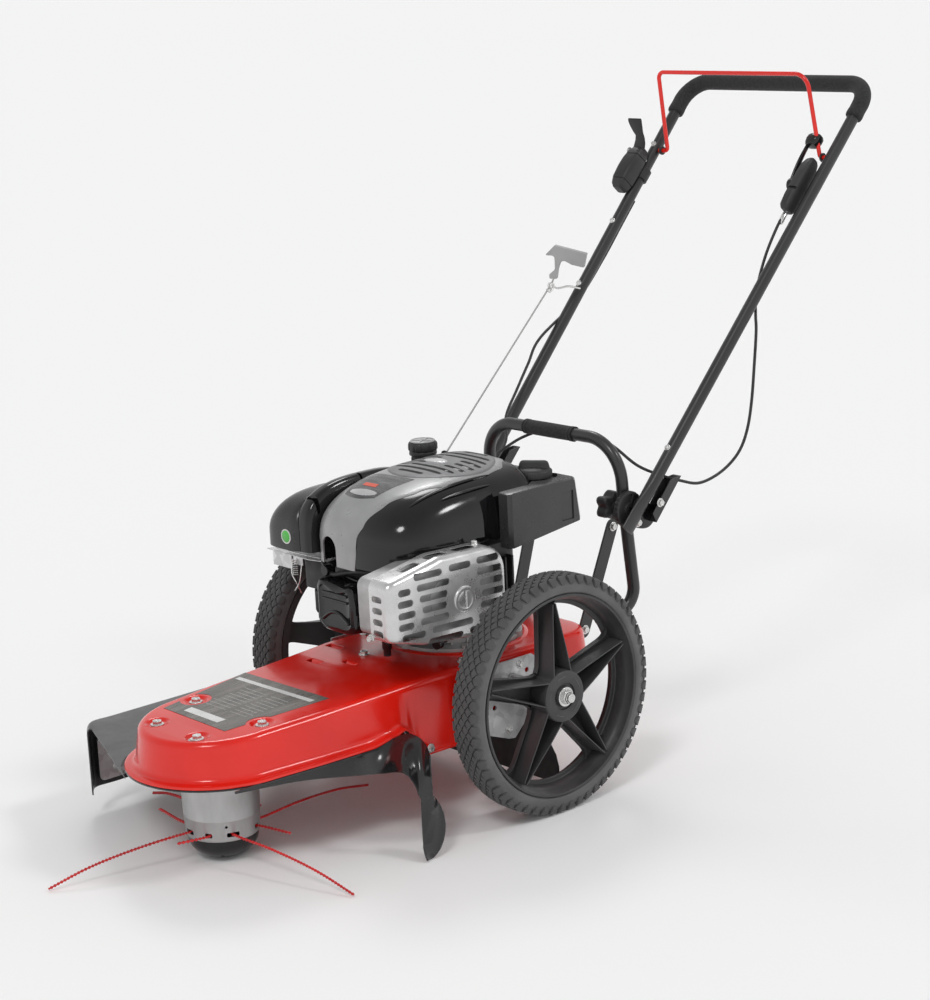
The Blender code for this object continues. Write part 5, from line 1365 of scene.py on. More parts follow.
def fuel_cap():
    """Winged filler cap with a knurled skirt."""
    skirt = lathe([(0, 0.5228), (0.03, 0.5228), (0.031, 0.5238), (0.031, 0.533), (0.03, 0.5345),
                   (0.027, 0.5375), (0.018, 0.5395), (0, 0.54)], FUEL_CAP, segments=120,
                  wobble=lambda turn, r: r - (0.0006 if r > 0.0295 and math.cos(turn * 40) < 0 else 0.0))
    rings = []
    for z, wide, deep in ((0.534, 0.0285, 0.01), (0.54, 0.027, 0.0075), (0.546, 0.0255, 0.0062),
                          (0.5495, 0.0235, 0.0052), (0.551, 0.0205, 0.0036)):
        ring = []
        for k in range(40):
            turn = 2 * math.pi * k / 40
            c, sn = math.cos(turn), math.sin(turn)
            x = math.copysign(abs(c) ** 0.6, c) * wide
            y = math.copysign(abs(sn) ** 0.6, sn) * deep * (1 - 0.35 * (1 - abs(x / wide)))
            ring.append((x, y, z))
        rings.append(ring)
    wing = turned(loft(rings), math.radians(35))
    bmesh.ops.translate(wing, verts=wing.verts, vec=FUEL_CAP)
    piece("fuel_cap", join(skirt, wing), "matt", "fuel_cap", "fuel_cap", angle=40)


def oil_filler():
    collar = lathe([(0.0, 0.47), (0.019, 0.47), (0.019, 0.515), (0.0205, 0.518), (0.0215, 0.5195),
                    (0.0215, 0.54), (0.0205, 0.544), (0.0195, 0.545), (0, 0.545)], DIPSTICK, segments=144,
                   wobble=lambda turn, r: r - (0.001 if r > 0.0212 and math.cos(turn * 36) < 0 else 0.0))
    piece("oil_filler_collar", collar, "matt", "chassis", angle=40)
    cap = lathe([(0, 0.5458), (0.0235, 0.5458), (0.0245, 0.5466), (0.0245, 0.5512), (0.0238, 0.552),
                 (0.0238, 0.5535),
                 (0.0252, 0.5545), (0.026, 0.556), (0.026, 0.564), (0.0252, 0.5668), (0.0232, 0.569),
                 (0.015, 0.57), (0.014, 0.5692), (0, 0.5692)], DIPSTICK, segments=120,
                wobble=lambda turn, r: r - (0.0012 if r > 0.025 and math.cos(turn * 12) < -0.4 else 0.0))
    piece("oil_cap", cap, "matt", "oil_cap", "oil_cap", bevel=0.0004, angle=40)
    face = lathe([(0, 0.5686), (0.0212, 0.5686), (0.0222, 0.5698), (0.022, 0.5712), (0.0205, 0.572),
                  (0.019, 0.5712), (0.018, 0.5704), (0, 0.5704)], DIPSTICK, segments=64)
    bars = [box((-long, -wide, 0.5698), (long, wide, 0.5716))
            for long, wide in ((0.0185, 0.0022), (0.0022, 0.0185))]
    cross = turned(join(*bars), math.radians(25))
    bmesh.ops.translate(cross, verts=cross.verts, vec=DIPSTICK)
    piece("oil_cap_face", join(face, cross), "steel", "oil_cap", bevel=0.0004, angle=40)


# ---------------------------------------------------------------- engine body
# Corners of the muffler guard seen from its side: y, z and the radius of the arc that rounds the corner.
GUARD_CORNERS = [(0.214, 0.338, 0.014), (0.29, 0.317, 0.1), (0.41, 0.306, 0.06), (0.471, 0.311, 0.02),
                 (0.473, 0.452, 0.045), (0.33, 0.456, 0.06), (0.214, 0.434, 0.016)]


def soften(outline, rounds=3):
    """Cut the corners of a closed outline until it is smooth."""
    for _ in range(rounds):
        finer = []
        for (u0, v0), (u1, v1) in zip(outline, outline[1:] + outline[:1]):
            finer += [(u0 * 0.75 + u1 * 0.25, v0 * 0.75 + v1 * 0.25),
                      (u0 * 0.25 + u1 * 0.75, v0 * 0.25 + v1 * 0.75)]
        outline = finer
    return outline


def shrink(outline, amount):
    cu = sum(u for u, v in outline) / len(outline)
    cv = sum(v for u, v in outline) / len(outline)
    result = []
    for u, v in outline:
        reach = math.hypot(u - cu, v - cv)
        result.append((cu + (u - cu) * (1 - amount / reach), cv + (v - cv) * (1 - amount / reach)))
    return result


def bar_slot(start, end, z, tall, tilt=0.0):
    """Horizontal slot cutter with round ends for the side face."""
    outline = rounded_rectangle((start + end) / 2, z, end - start, tall, tall * 0.48, 6)
    middle = (start + end) / 2
    outline = [(u, v + (u - middle) * tilt) for u, v in outline]
    return prism(outline, 0.176, 0.205, "X")


def muffler_guard():
    """Pressed guard with a domed face, large edge radius and rows of round-ended slots."""
    outer = rounded_outline(GUARD_CORNERS, 10)
    shell = []
    for x, amount in ((0.145, 0.0), (0.178, 0.0), (0.182, 0.0006), (0.1855, 0.002), (0.1885, 0.0045),
                      (0.1908, 0.008), (0.192, 0.013), (0.1925, 0.03)):
        shell.append([(x, u, v) for u, v in shrink(outer, amount)])
    inner = []
    for index, ring in enumerate(shell):
        x = ring[0][0] - 0.0018 if index > 4 else ring[0][0]
        inner.append([(x, u, v) for u, v in shrink([point[1:] for point in ring], 0.0016)])
    bm = bmesh.new()
    skins = [[[bm.verts.new(p) for p in ring] for ring in rings] for rings in (shell, inner)]
    count = len(outer)
    for rings in skins:
        for low, high in zip(rings, rings[1:]):
            for k in range(count):
                bm.faces.new((low[k], low[(k + 1) % count], high[(k + 1) % count], high[k]))
        bm.faces.new(rings[-1])
    for k in range(count):
        bm.faces.new((skins[0][0][k], skins[0][0][(k + 1) % count], skins[1][0][(k + 1) % count],
                      skins[1][0][k]))
    cutters = []
    rows = [(0.4345, ((0.27, 0.33), (0.345, 0.392), (0.405, 0.455))),
            (0.4155, ((0.236, 0.262), (0.275, 0.345), (0.405, 0.46))),
            (0.3965, ((0.234, 0.266), (0.28, 0.34), (0.41, 0.462))),
            (0.3775, ((0.234, 0.27), (0.285, 0.338), (0.414, 0.463))),
            (0.3585, ((0.234, 0.266), (0.28, 0.342), (0.41, 0.461))),
            (0.3395, ((0.24, 0.29), (0.304, 0.392), (0.405, 0.456))),
            (0.321, ((0.296, 0.37), (0.384, 0.446)))]
    for z, spans in rows:
        for start, end in spans:
            cutters.append(bar_slot(start, end, z, 0.0118, -0.03))
    for index in range(4):
        z = 0.35 + 0.019 * index
        cutters.append(prism(rounded_rectangle(0.164, z, 0.024, 0.0105, 0.0045), 0.2, 0.236, "Y"))
    for start, end in ((0.262, 0.3), (0.316, 0.36), (0.376, 0.42)):
        cutters.append(prism(rounded_rectangle(0.166, (start + end) / 2, 0.02, end - start, 0.006), 0.43,
                             0.47))
    piece("muffler_guard", bm, "silver", "chassis", "muffler_guard", angle=40, cuts=join(*cutters))
    boss = lathe([(0, 0.19), (0.0225, 0.19), (0.0225, 0.1932), (0.0218, 0.1946), (0.02, 0.1952),
                  (0.0165, 0.195), (0.015, 0.194), (0.014, 0.1944), (0, 0.195)], (0, 0.376, 0.377),
                 (1, 0, 0), 64)
    slit = prism(rounded_rectangle(0.376, 0.377, 0.007, 0.03, 0.002), 0.1915, 0.2, "X")
    piece("guard_boss", boss, "silver", "chassis", angle=40, cuts=slit)
    # A black plate just inside the slit: painted shade.
    piece("guard_boss_slit_painted_shade", prism(rounded_rectangle(0.376, 0.377, 0.0068, 0.0298, 0.0018), 0.1905, 0.1918,
                                   "X"),
          "dark", "chassis")
    screws = (((0.16, 0.43, 0.453), (0, 0, 1)), ((0.142, 0.2165, 0.338), (0, -1, 0)))
    for index, (base, axis) in enumerate(screws, 1):
        piece(f"guard_screw_{index}", hex_bolt(base, axis, 0.0048, 0.005, 0.0072), "bolt", "chassis",
              bevel=0.0003, angle=30)
    core = []
    for x, amount in ((0.1056, 0.01), (0.166, 0.01), (0.172, 0.013), (0.175, 0.019), (0.176, 0.03)):
        core.append([(x, u, v) for u, v in shrink(outer, amount)])
    seam = lathe([(0.0, 0.1755), (0.03, 0.1755), (0.03, 0.1772), (0.026, 0.178), (0, 0.178)],
                 (0, 0.345, 0.384), (1, 0, 0), 48)
    piece("muffler", join(loft(core), seam), "cast", "chassis", "muffler", angle=45)


def engine_body():
    """Flange, crankcase, finned cylinder, head and the black rocker cover."""
    base = lathe([(0.016, 0.2485), (0.115, 0.2485), (0.116, 0.2495), (0.116, 0.255), (0.1145, 0.2565),
                  (0.101, 0.26), (0.099, 0.262), (0.098, 0.285), (0.016, 0.285)], CRANK, segments=96,
                 closed=True)
    lugs = [base]
    for index in range(6):
        turn = math.radians(30 + 60 * index)
        lugs.append(lathe([(0, 0.2485), (0.013, 0.2485), (0.013, 0.26), (0.012, 0.2612), (0, 0.2612)],
                          (0.108 * math.cos(turn), CRANK.y + 0.108 * math.sin(turn), 0), segments=24))
    for index in range(24):
        turn = math.radians(15 * index)
        rib = box((0.094, -0.0018, 0.259), (0.104, 0.0018, 0.285))
        turned(rib, turn)
        bmesh.ops.translate(rib, verts=rib.verts, vec=(0, CRANK.y, 0))
        lugs.append(rib)
    piece("engine_base", join(*lugs), "cast", "chassis", "engine_base", bevel=0.0005, angle=35)
    parts = [prism(rounded_rectangle(0.005, 0.513, 0.16, 0.166, 0.02), 0.2853, 0.418),
             box((-0.07, 0.33, 0.3), (0.005, 0.44, 0.38)),
             box((-0.125, 0.548, 0.366), (-0.06, 0.576, 0.4)),
             lathe([(0, 0.38), (0.0165, 0.38), (0.0165, 0.47), (0, 0.47)], DIPSTICK, segments=40)]
    for index in range(8):
        y = 0.333 + 0.012 * index
        outline = rounded_rectangle(-0.024, 0.344, 0.132, 0.108, 0.01)
        parts.append(prism(outline, y, y + 0.0032, "Y"))
    for index in range(9):
        parts.append(box((0.085, 0.44 + 0.016 * index, 0.295), (0.1, 0.444 + 0.016 * index, 0.395)))
    piece("cylinder_block", join(*parts), "dark_cast", "chassis", "cylinder_block", bevel=0.0005, angle=35)
    outer = soften([(-0.088, 0.299), (-0.04, 0.295), (0.012, 0.297), (0.015, 0.33), (0.015, 0.366),
                    (0.008, 0.384), (-0.02, 0.38), (-0.05, 0.384), (-0.088, 0.389), (-0.09, 0.34)], 2)
    rings = []
    for y, amount in ((0.329, -0.003), (0.324, -0.003), (0.3232, 0.0), (0.296, 0.0006), (0.29, 0.0022),
                      (0.2865, 0.006), (0.285, 0.012), (0.2862, 0.015), (0.2868, 0.028)):
        rings.append([(x, y, z) for x, z in shrink(outer, amount)])
    arch = sweep([(-0.07 + 0.068 * k / 12, 0.286, 0.318 + 0.016 * math.sin(math.pi * k / 12))
                  for k in range(13)],
                 circle(0.003, 10), (0, 0, 1))
    bars = [box((-0.07, 0.2846, 0.352 + 0.011 * k), (-0.004, 0.288, 0.356 + 0.011 * k)) for k in range(2)]
    piece("valve_cover", join(loft(rings), loft(arch), *bars), "gloss", "chassis", "valve_cover",
          bevel=0.0008, angle=45)
    for index, (x, z) in enumerate(((-0.08, 0.306), (0.006, 0.305), (0.006, 0.375), (-0.08, 0.379))):
        piece(f"rocker_screw_{index + 1}", hex_bolt((x, 0.3215, z), (0, -1, 0), 0.0036, 0.004, 0.0056),
              "bolt", "chassis", bevel=0.0002, angle=30)


def intake_side():
    """Carburettor, governor bracket, throttle wires, hoses, spark lead."""
    parts = [prism(rounded_rectangle(-0.143, 0.36, 0.07, 0.056, 0.01), 0.345, 0.4),
             lathe([(0, 0.3), (0.023, 0.3), (0.025, 0.304), (0.025, 0.34), (0, 0.345)], (-0.145, 0.36, 0),
                   segments=40),
             lathe([(0, 0), (0.016, 0), (0.016, 0.045), (0, 0.045)], (-0.12, 0.372, 0.372), (1, 0, 0), 32)]
    piece("carburettor", join(*parts), "dark_cast", "chassis", "carburettor", bevel=0.0008)
    plate = prism([(-0.252, 0.312), (-0.13, 0.308), (-0.09, 0.318), (-0.1, 0.346), (-0.18, 0.35),
                   (-0.244, 0.33)], 0.404, 0.4056)
    lip = box((-0.232, 0.3095, 0.38), (-0.18, 0.3111, 0.4056))
    tab = box((-0.176, 0.3105, 0.39), (-0.15, 0.3121, 0.4056))
    piece("governor_bracket", join(plate, lip, tab), "zinc", "chassis", bevel=0.0004)
    wires = [[(-0.172, 0.306, 0.4), (-0.174, 0.304, 0.375), (-0.166, 0.306, 0.36), (-0.166, 0.316, 0.338)],
             [(-0.232, 0.316, 0.4085), (-0.18, 0.312, 0.41), (-0.12, 0.316, 0.409), (-0.095, 0.33, 0.407)],
             [(-0.15, 0.308, 0.392), (-0.156, 0.306, 0.362), (-0.176, 0.31, 0.342)]]
    piece("governor_links", join(*(rod(smooth_curve(w, 0.004), 0.0012, 10) for w in wires)), "bolt",
          "chassis")
    coil = [(-0.168 + 0.0045 * math.cos(k * 0.7), 0.307 + 0.0045 * math.sin(k * 0.7), 0.398 - 0.0004 * k)
            for k in range(70)]
    piece("governor_spring", rod(coil, 0.0006, 6, (0, 0, 1)), "bolt", "chassis")
    cables = [[(-0.1, 0.316, 0.404), (-0.076, 0.306, 0.398), (-0.058, 0.304, 0.392), (-0.03, 0.312, 0.398),
               (0.01, 0.318, 0.404), (0.045, 0.33, 0.398)],
              [(0.04, 0.345, 0.4), (0.062, 0.322, 0.388), (0.066, 0.312, 0.356), (0.058, 0.308, 0.325),
               (0.062, 0.322, 0.296)]]
    piece("engine_hoses", join(*(rod(smooth_curve(c, 0.004), 0.0042, 14) for c in cables)), "matt",
          "chassis")
    clamp = lathe([(0, -0.008), (0.0085, -0.008), (0.0095, -0.006), (0.0095, 0.006), (0.0085, 0.008),
                   (0, 0.008)],
                  (-0.072, 0.303, 0.398), (0, -1, 0), 24)
    plug = lathe([(0, 0), (0.0085, 0), (0.0085, 0.018), (0.0065, 0.022), (0.0065, 0.032), (0, 0.032)],
                 (0.056, 0.318, 0.3), (0, 0, -1), 24)
    piece("lead_boots", join(clamp, plug), "gloss", "chassis", bevel=0.0004)
    drain = lathe([(0, 0), (0.0095, 0), (0.0095, 0.02), (0.0075, 0.022), (0.0075, 0.03), (0, 0.03)],
                  (0.075, 0.425, 0.275), (0.5, -1, -0.1), 24)
    piece("drain_plug", drain, "gloss", "chassis", bevel=0.0004)


def build_engine():
    blower_cover()
    engine_band()
    grille()
    decals()
    filter_cover()
    fuel_tank()
    fuel_cap()
    oil_filler()
    muffler_guard()
    engine_body()
    intake_side()


# ---------------------------------------------------------------- rear frame
STRUT_FOOT = Vector((0.088, 0.738, 0.205))
STRUT_KNEE = Vector((0.101, 0.816, 0.41))
CARRY_X, CARRY_TOP_Z = 0.17, 0.567


def strut(word, side):
    along = (STRUT_KNEE - STRUT_FOOT).normalized()
    length = (STRUT_KNEE - STRUT_FOOT).length
    half = []
    for step in range(13):
        turn = math.pi * step / 12
        half.append((0.0135 * math.cos(turn), 0.0135 * math.sin(turn)))
    outline = [(u, length - 0.0135 + v) for u, v in half] + [(-u, 0.0135 - v) for u, v in half]
    across = along.cross(Vector((1, 0, 0))).normalized()
    face = along.cross(across).normalized()
    rings = [[STRUT_FOOT + across * u + along * v + face * w for u, v in outline] for w in (-0.002, 0.002)]
    piece(f"strut_{word}", sided(loft(rings), side), "black", "chassis", f"strut_{word}", bevel=0.0008,
          steps=3)
    for index, distance in enumerate((0.016, length - 0.014)):
        place = STRUT_FOOT + along * distance + Vector((0.0024, 0, 0))
        bolt = sided(hex_bolt(place, (1, 0, 0), 0.0055, 0.0045, 0.0085), side)
        piece(f"strut_bolt_{word}_{index + 1}", bolt, "bolt", "chassis", bevel=0.0003, angle=30)


def carry_handle():
    """Hoop of round tube, pressed flat where the adjusters clamp it."""
    foot, heel = Vector((0.155, 0.712, 0.26)), Vector((CARRY_X, 0.795, 0.26))
    waist, corner = Vector((CARRY_X, 0.7735, 0.45)), Vector((0.168, 0.766, CARRY_TOP_Z))
    half = rounded_path([foot, heel, waist], 0.042, 10)[:-1]
    half += rounded_path([waist, corner, Vector((0, 0.766, CARRY_TOP_Z))], 0.072, 18)[:-1]
    coarse = half + [Vector((0, 0.766, CARRY_TOP_Z))] + [Vector((-p.x, p.y, p.z)) for p in half[::-1]]
    path = []
    for a, b in zip(coarse, coarse[1:]):
        count = max(1, round((b - a).length / 0.006))
        path += [a.lerp(b, k / count) for k in range(count)]
    path.append(coarse[-1])

    def shape(index):
        z, x = path[index].z, abs(path[index].x)
        press = max(0.0, 1 - abs(z - 0.452) / 0.03) if x > 0.14 else 0.0
        press = min(1.0, press * 1.6)
        return circle(TUBE, 28, 1 + 0.1 * press, 1 - 0.22 * press)
    piece("carry_handle", loft(sweep(path, shape)), "black", "chassis", "carry_handle", angle=50)
    profile = [(TUBE + 0.0003, -0.062), (0.0128, -0.062), (0.0136, -0.0614), (0.0136, -0.059),
               (0.0129, -0.058),
               (0.0129, -0.0568), (0.0135, -0.056), (0.0135, -0.0535), (0.0128, -0.0525), (0.013, -0.048),
               (0.0132, 0.0), (0.013, 0.048), (0.0128, 0.0525), (0.0135, 0.0535), (0.0135, 0.056),
               (0.0129, 0.0568), (0.0129, 0.058), (0.0136, 0.059), (0.0136, 0.0614), (0.0128, 0.062),
               (TUBE + 0.0003, 0.062)]
    piece("carry_grip", lathe(profile, (0, 0.766, CARRY_TOP_Z), (1, 0, 0), 40, closed=True), "foam",
          "chassis", "carry_grip", angle=50)


def adjuster(word, side):
    """Fan-ribbed clamp disc, rounded lug arm and the pointed channel behind the tube's foot."""
    name = f"height_adjuster_{word}"
    disc = lathe([(0.0045, 0.1815), (0.0295, 0.1815), (0.0318, 0.1825), (0.032, 0.184), (0.032, 0.1895),
                  (0.0312, 0.1915), (0.029, 0.1922), (0.027, 0.1922), (0.0262, 0.1895), (0.012, 0.1895),
                  (0.011, 0.1925), (0.0045, 0.1925)], PIVOT, (1, 0, 0), 96, closed=True,
                 wobble=lambda turn, r: r - (0.0008 if r > 0.031 and math.cos(turn * 24) < -0.2 else 0.0))
    ribs = []
    for index in range(5):
        turn = math.radians(-70 + 35 * index)
        rib = prism([(0.01, -0.0011), (0.0272, -0.002), (0.0272, 0.002), (0.01, 0.0011)], 0.1888, 0.1918,
                    "X")
        bmesh.ops.rotate(rib, verts=rib.verts, cent=(0, 0, 0), matrix=Matrix.Rotation(turn, 3, "X"))
        bmesh.ops.translate(rib, verts=rib.verts, vec=(0, PIVOT.y, PIVOT.z))
        ribs.append(rib)
    piece(name, sided(join(disc, *ribs), side), "matt", "handle", name, bevel=0.0004, angle=40)
    lug = soften([(0.766, 0.436), (0.77, 0.418), (0.79, 0.411), (0.808, 0.411), (0.822, 0.424),
                  (0.828, 0.444), (0.812, 0.452), (0.788, 0.462), (0.772, 0.458)], 3)
    rings = [[(x, y, z) for y, z in shrink(lug, amount)] for x, amount in
             ((0.1845, 0.002), (0.186, 0.0), (0.197, 0.0), (0.1984, 0.001), (0.199, 0.003))]
    piece(f"adjuster_lug_{word}", sided(loft(rings), side), "gloss", "handle", angle=50)
    section = [(-0.01, -0.009), (0.01, -0.009), (0.01, 0.009), (0.0082, 0.009), (0.0082, -0.0072),
               (-0.0082, -0.0072), (-0.0082, 0.009), (-0.01, 0.009)]
    start = Vector((0.205, 0.8, 0.428))
    rings = sweep([start, start + UP_TUBE * 0.03, start + UP_TUBE * 0.097], section, OFF_TUBE)
    rings[-1] = [point - UP_TUBE * (((point - start).dot(OFF_TUBE) + 0.009) * 1.1) for point in rings[-1]]
    rings[0] = [point + UP_TUBE * (((point - start).dot(OFF_TUBE) + 0.009) * 0.4) for point in rings[0]]
    piece(f"foot_channel_{word}", sided(loft(rings), side), "black", "handle", bevel=0.0005, angle=35)
    for index, (x, y, z) in enumerate(((0.1995, 0.776, 0.426), (0.216, 0.816, 0.456))):
        bolt = hex_bolt((x - (0.0 if index == 0 else 0.0005), y, z), (1, 0, 0), 0.0052, 0.0045, 0.008)
        piece(f"knuckle_bolt_{word}_{index + 1}", sided(bolt, side), "bolt", "handle", bevel=0.0003,
              angle=30)


def knob(word, side):
    """Star knob with five lobes, a raised hub and the end of its bolt."""
    def lobes(turn, r):
        return r * (1 + 0.19 * math.cos(5 * turn)) if r > 0.012 else r
    body = lathe([(0, 0.1282), (0.008, 0.1282), (0.0085, 0.129), (0.013, 0.129), (0.017, 0.1286),
                  (0.0205, 0.13), (0.0222, 0.1325), (0.0226, 0.136), (0.0226, 0.147), (0.0222, 0.1505),
                  (0.0205, 0.153), (0.018, 0.154), (0.0125, 0.156), (0, 0.156)], PIVOT, (1, 0, 0), 100,
                 wobble=lobes)
    neck = lathe([(0, 0.155), (0.009, 0.155), (0.009, 0.1585), (0, 0.1585)], PIVOT, (1, 0, 0), 32)
    piece(f"knob_{word}", sided(join(body, neck), side), "matt", f"knob_{word}", f"knob_{word}",
          bevel=0.0006, angle=50)
    pin = lathe([(0, 0.127), (0.0036, 0.127), (0.004, 0.1275), (0.004, 0.13), (0, 0.13)], PIVOT, (1, 0, 0),
                24)
    piece(f"knob_pin_{word}", sided(pin, side), "bolt", f"knob_{word}", angle=40)


# ---------------------------------------------------------------- push handle and controls
def tube_point(distance, side=1, off=0.0, x=None):
    """A point `distance` up the handle tube and `off` in front of its centre line."""
    point = HANDLE_FOOT + (HANDLE_CORNER - HANDLE_FOOT).normalized() * distance + OFF_TUBE * off
    return Vector(((point.x if x is None else x) * side, point.y, point.z))


def handle_path(start, steps, lead=()):
    first = tube_point(start)
    corners = [first, HANDLE_CORNER, Vector((-HANDLE_CORNER.x, HANDLE_CORNER.y, HANDLE_CORNER.z)),
               Vector((-first.x, first.y, first.z))]
    path = rounded_path(corners, 0.048, steps)
    right = [tube_point(start + d) for d in lead]
    left = [Vector((-p.x, p.y, p.z)) for p in right[::-1]]
    return [path[0]] + right + path[1:-1] + left + [path[-1]]


def upper_handle():
    lead = (0.015, 0.03, 0.045, 0.06, 0.078, 0.096)
    path = handle_path(-0.026, 16, lead)
    last = len(path) - 1
    press = [1.0, 1.0, 1.0, 0.85, 0.55, 0.2, 0.0]

    def shape(index):
        amount = press[min(index, last - index)] if min(index, last - index) < len(press) else 0.0
        return circle(TUBE, 28, 1 + 0.28 * amount, 1 - 0.5 * amount)
    piece("upper_handle", loft(sweep(path, shape)), "black", "handle", "upper_handle", angle=50)
    for index, (y, z, side) in enumerate(((1.275, 1.023, -1), (1.267, 0.975, -1), (1.127, 0.911, -1),
                                          (1.076, 0.759, -1), (0.842, 0.552, 1))):
        distance = (Vector((0, y, z)) - Vector((0, HANDLE_FOOT.y, HANDLE_FOOT.z))).dot(UP_TUBE)
        place = tube_point(distance, side, TUBE * 0.93)
        piece(f"tube_screw_{index + 1}", hex_bolt(place, OFF_TUBE, 0.0038, 0.0036, 0.0058), "bolt",
              "handle", bevel=0.0003, angle=30)


def foam_grip():
    path = handle_path(0.862, 20, (0.001, 0.004, 0.008, 0.012, 0.016, 0.02, 0.03))
    last = len(path) - 1
    ends = [0.0143, 0.0153, 0.0158, 0.0158, 0.0156, 0.0152, 0.0152, 0.0154]

    def shape(index):
        near = min(index, last - index)
        return circle(ends[near] if near < len(ends) else 0.0155, 32)
    piece("foam_grip", loft(sweep(path, shape)), "foam", "handle", "foam_grip", angle=50)


def bail():
    """Thin red control rod hinged on the insides of the tubes."""
    foot = [Vector((0.2076, BAIL_Y, BAIL_Z)), Vector((0.193, BAIL_Y, BAIL_Z)),
            Vector((0.178, 1.268, 1.156))]
    other = [Vector((-0.2076, BAIL_Y, BAIL_Z)), Vector((-0.185, BAIL_Y, BAIL_Z)),
             Vector((-0.189, 1.268, 1.156))]
    rise, fall = foot[1].lerp(foot[2], 0.4), other[1].lerp(other[2], 0.4)
    top = Vector((0, 1.268, 1.156))
    path = rounded_path([foot[0], foot[1], rise], 0.007, 8)[:-1]
    path += rounded_path([rise, foot[2], top], 0.03, 14)[:-1]
    path += rounded_path([top, other[2], fall], 0.013, 10)[:-1]
    path += rounded_path([fall, other[1], other[0]], 0.007, 8)
    piece("bail", rod(path, 0.004, 18, (0, 1, 0)), "red", "bail", "bail", angle=50)
    for word, side in SIDES:
        bush = lathe([(0.0043, 0.1975), (0.0078, 0.1975), (0.0084, 0.1985), (0.0084, 0.201),
                      (0.0043, 0.201)],
                     (0, BAIL_Y, BAIL_Z), (1, 0, 0), 32, closed=True)
        piece(f"bail_bush_{word}", sided(bush, side), "matt", "handle", bevel=0.0003)


def pod(side, distance, stations, sides=32, power=0.42):
    """Rounded body along the tube.  Station: (up, x low, x high, off low, off high)."""
    rings = []
    for up, x0, x1, low, high in stations:
        base = tube_point(distance, side) + UP_TUBE * up
        ring = []
        for k in range(sides):
            turn = 2 * math.pi * k / sides
            c, sn = math.cos(turn), math.sin(turn)
            u = math.copysign(abs(c) ** power, c)
            v = math.copysign(abs(sn) ** power, sn)
            point = base + OFF_TUBE * ((low + high) / 2 + (high - low) / 2 * v)
            point.x = side * ((x0 + x1) / 2 + (x1 - x0) / 2 * u)
            ring.append(point)
        rings.append(ring)
    return loft(rings)


CLUTCH_PIVOT = tube_point(0.742, -1, 0.036)
THROTTLE_PIVOT = tube_point(0.7, 1, 0.012)


def clutch_control():
    """Two-part ribbed housing on the left tube with a curved paddle."""
    shell = pod(-1, 0.706, [(-0.05, 0.218, 0.23, 0.018, 0.034), (-0.049, 0.214, 0.235, 0.015, 0.038),
                            (-0.043, 0.21, 0.239, 0.013, 0.043), (-0.03, 0.2065, 0.2415, 0.0122, 0.047),
                            (-0.006, 0.2052, 0.2425, 0.012, 0.048), (0.014, 0.2052, 0.2425, 0.012, 0.047),
                            (0.032, 0.207, 0.241, 0.0122, 0.044), (0.042, 0.21, 0.238, 0.014, 0.04),
                            (0.047, 0.214, 0.235, 0.017, 0.035), (0.0485, 0.218, 0.231, 0.02, 0.032)])
    seams = [pod(-1, 0.706, [(up - 0.0009, 0.203, 0.245, 0.01, 0.05),
                             (up + 0.0009, 0.203, 0.245, 0.01, 0.05)])
             for up in (-0.034, 0.024)]
    slot = pod(-1, 0.706, [(-0.026, 0.24, 0.246, 0.024, 0.033), (0.006, 0.24, 0.246, 0.026, 0.034)], 20)
    inner = pod(-1, 0.706, [(-0.045, 0.213, 0.236, 0.016, 0.04), (-0.03, 0.2076, 0.2404, 0.0134, 0.0459),
                            (0.03, 0.2076, 0.2404, 0.0134, 0.043), (0.042, 0.213, 0.236, 0.016, 0.036)])
    piece("clutch_housing", shell, "matt", "handle", "clutch_housing", angle=45, cuts=join(slot, *seams))
    piece("clutch_housing_core", inner, "matt", "handle", angle=45)
    clamp = lathe([(TUBE + 0.0002, -0.012), (0.0142, -0.012), (0.015, -0.011), (0.015, 0.011),
                   (0.0142, 0.012),
                   (TUBE + 0.0002, 0.012)], tube_point(0.712, -1), UP_TUBE, 40, closed=True)
    piece("clutch_clamp", clamp, "matt", "handle", bevel=0.0004, angle=40)
    blade = []
    for up, off, x0, x1, deep in ((-0.008, -0.004, 0.2385, 0.211, 0.0056),
                                  (0.004, 0.0, 0.241, 0.2085, 0.006), (0.014, 0.005, 0.238, 0.209, 0.005),
                                  (0.023, 0.012, 0.2345, 0.2108, 0.004),
                                  (0.029, 0.019, 0.2325, 0.213, 0.0034),
                                  (0.034, 0.025, 0.239, 0.2134, 0.0034),
                                  (0.04, 0.033, 0.244, 0.2128, 0.0034), (0.045, 0.04, 0.2468, 0.212, 0.003),
                                  (0.047, 0.043, 0.2465, 0.2124, 0.0014)):
        point = CLUTCH_PIVOT + UP_TUBE * up + OFF_TUBE * (off - 0.004)
        ring = []
        for u, v in rounded_rectangle(0, 0, abs(x0 - x1), deep * 2, deep * 0.9, 3):
            spot = point + UP_TUBE * v
            ring.append((-(x0 + x1) / 2 + u, spot.y, spot.z))
        blade.append(ring)
    piece("clutch_lever", loft(blade), "gloss", "clutch_lever", "clutch_lever", bevel=0.0003, angle=50)
    piece("clutch_bolt", hex_bolt((-0.2422, CLUTCH_PIVOT.y, CLUTCH_PIVOT.z), (-1, 0, 0), 0.0042, 0.0034,
                                  0.0064, 0.0008), "bolt", "clutch_lever", bevel=0.0003, angle=30)
    low = tube_point(0.69, -1, 0.032, 0.2418)
    piece("clutch_screw", hex_bolt(low, (-1, 0, 0), 0.0034, 0.003, 0.005, 0.0008), "bolt", "handle",
          bevel=0.0002, angle=30)


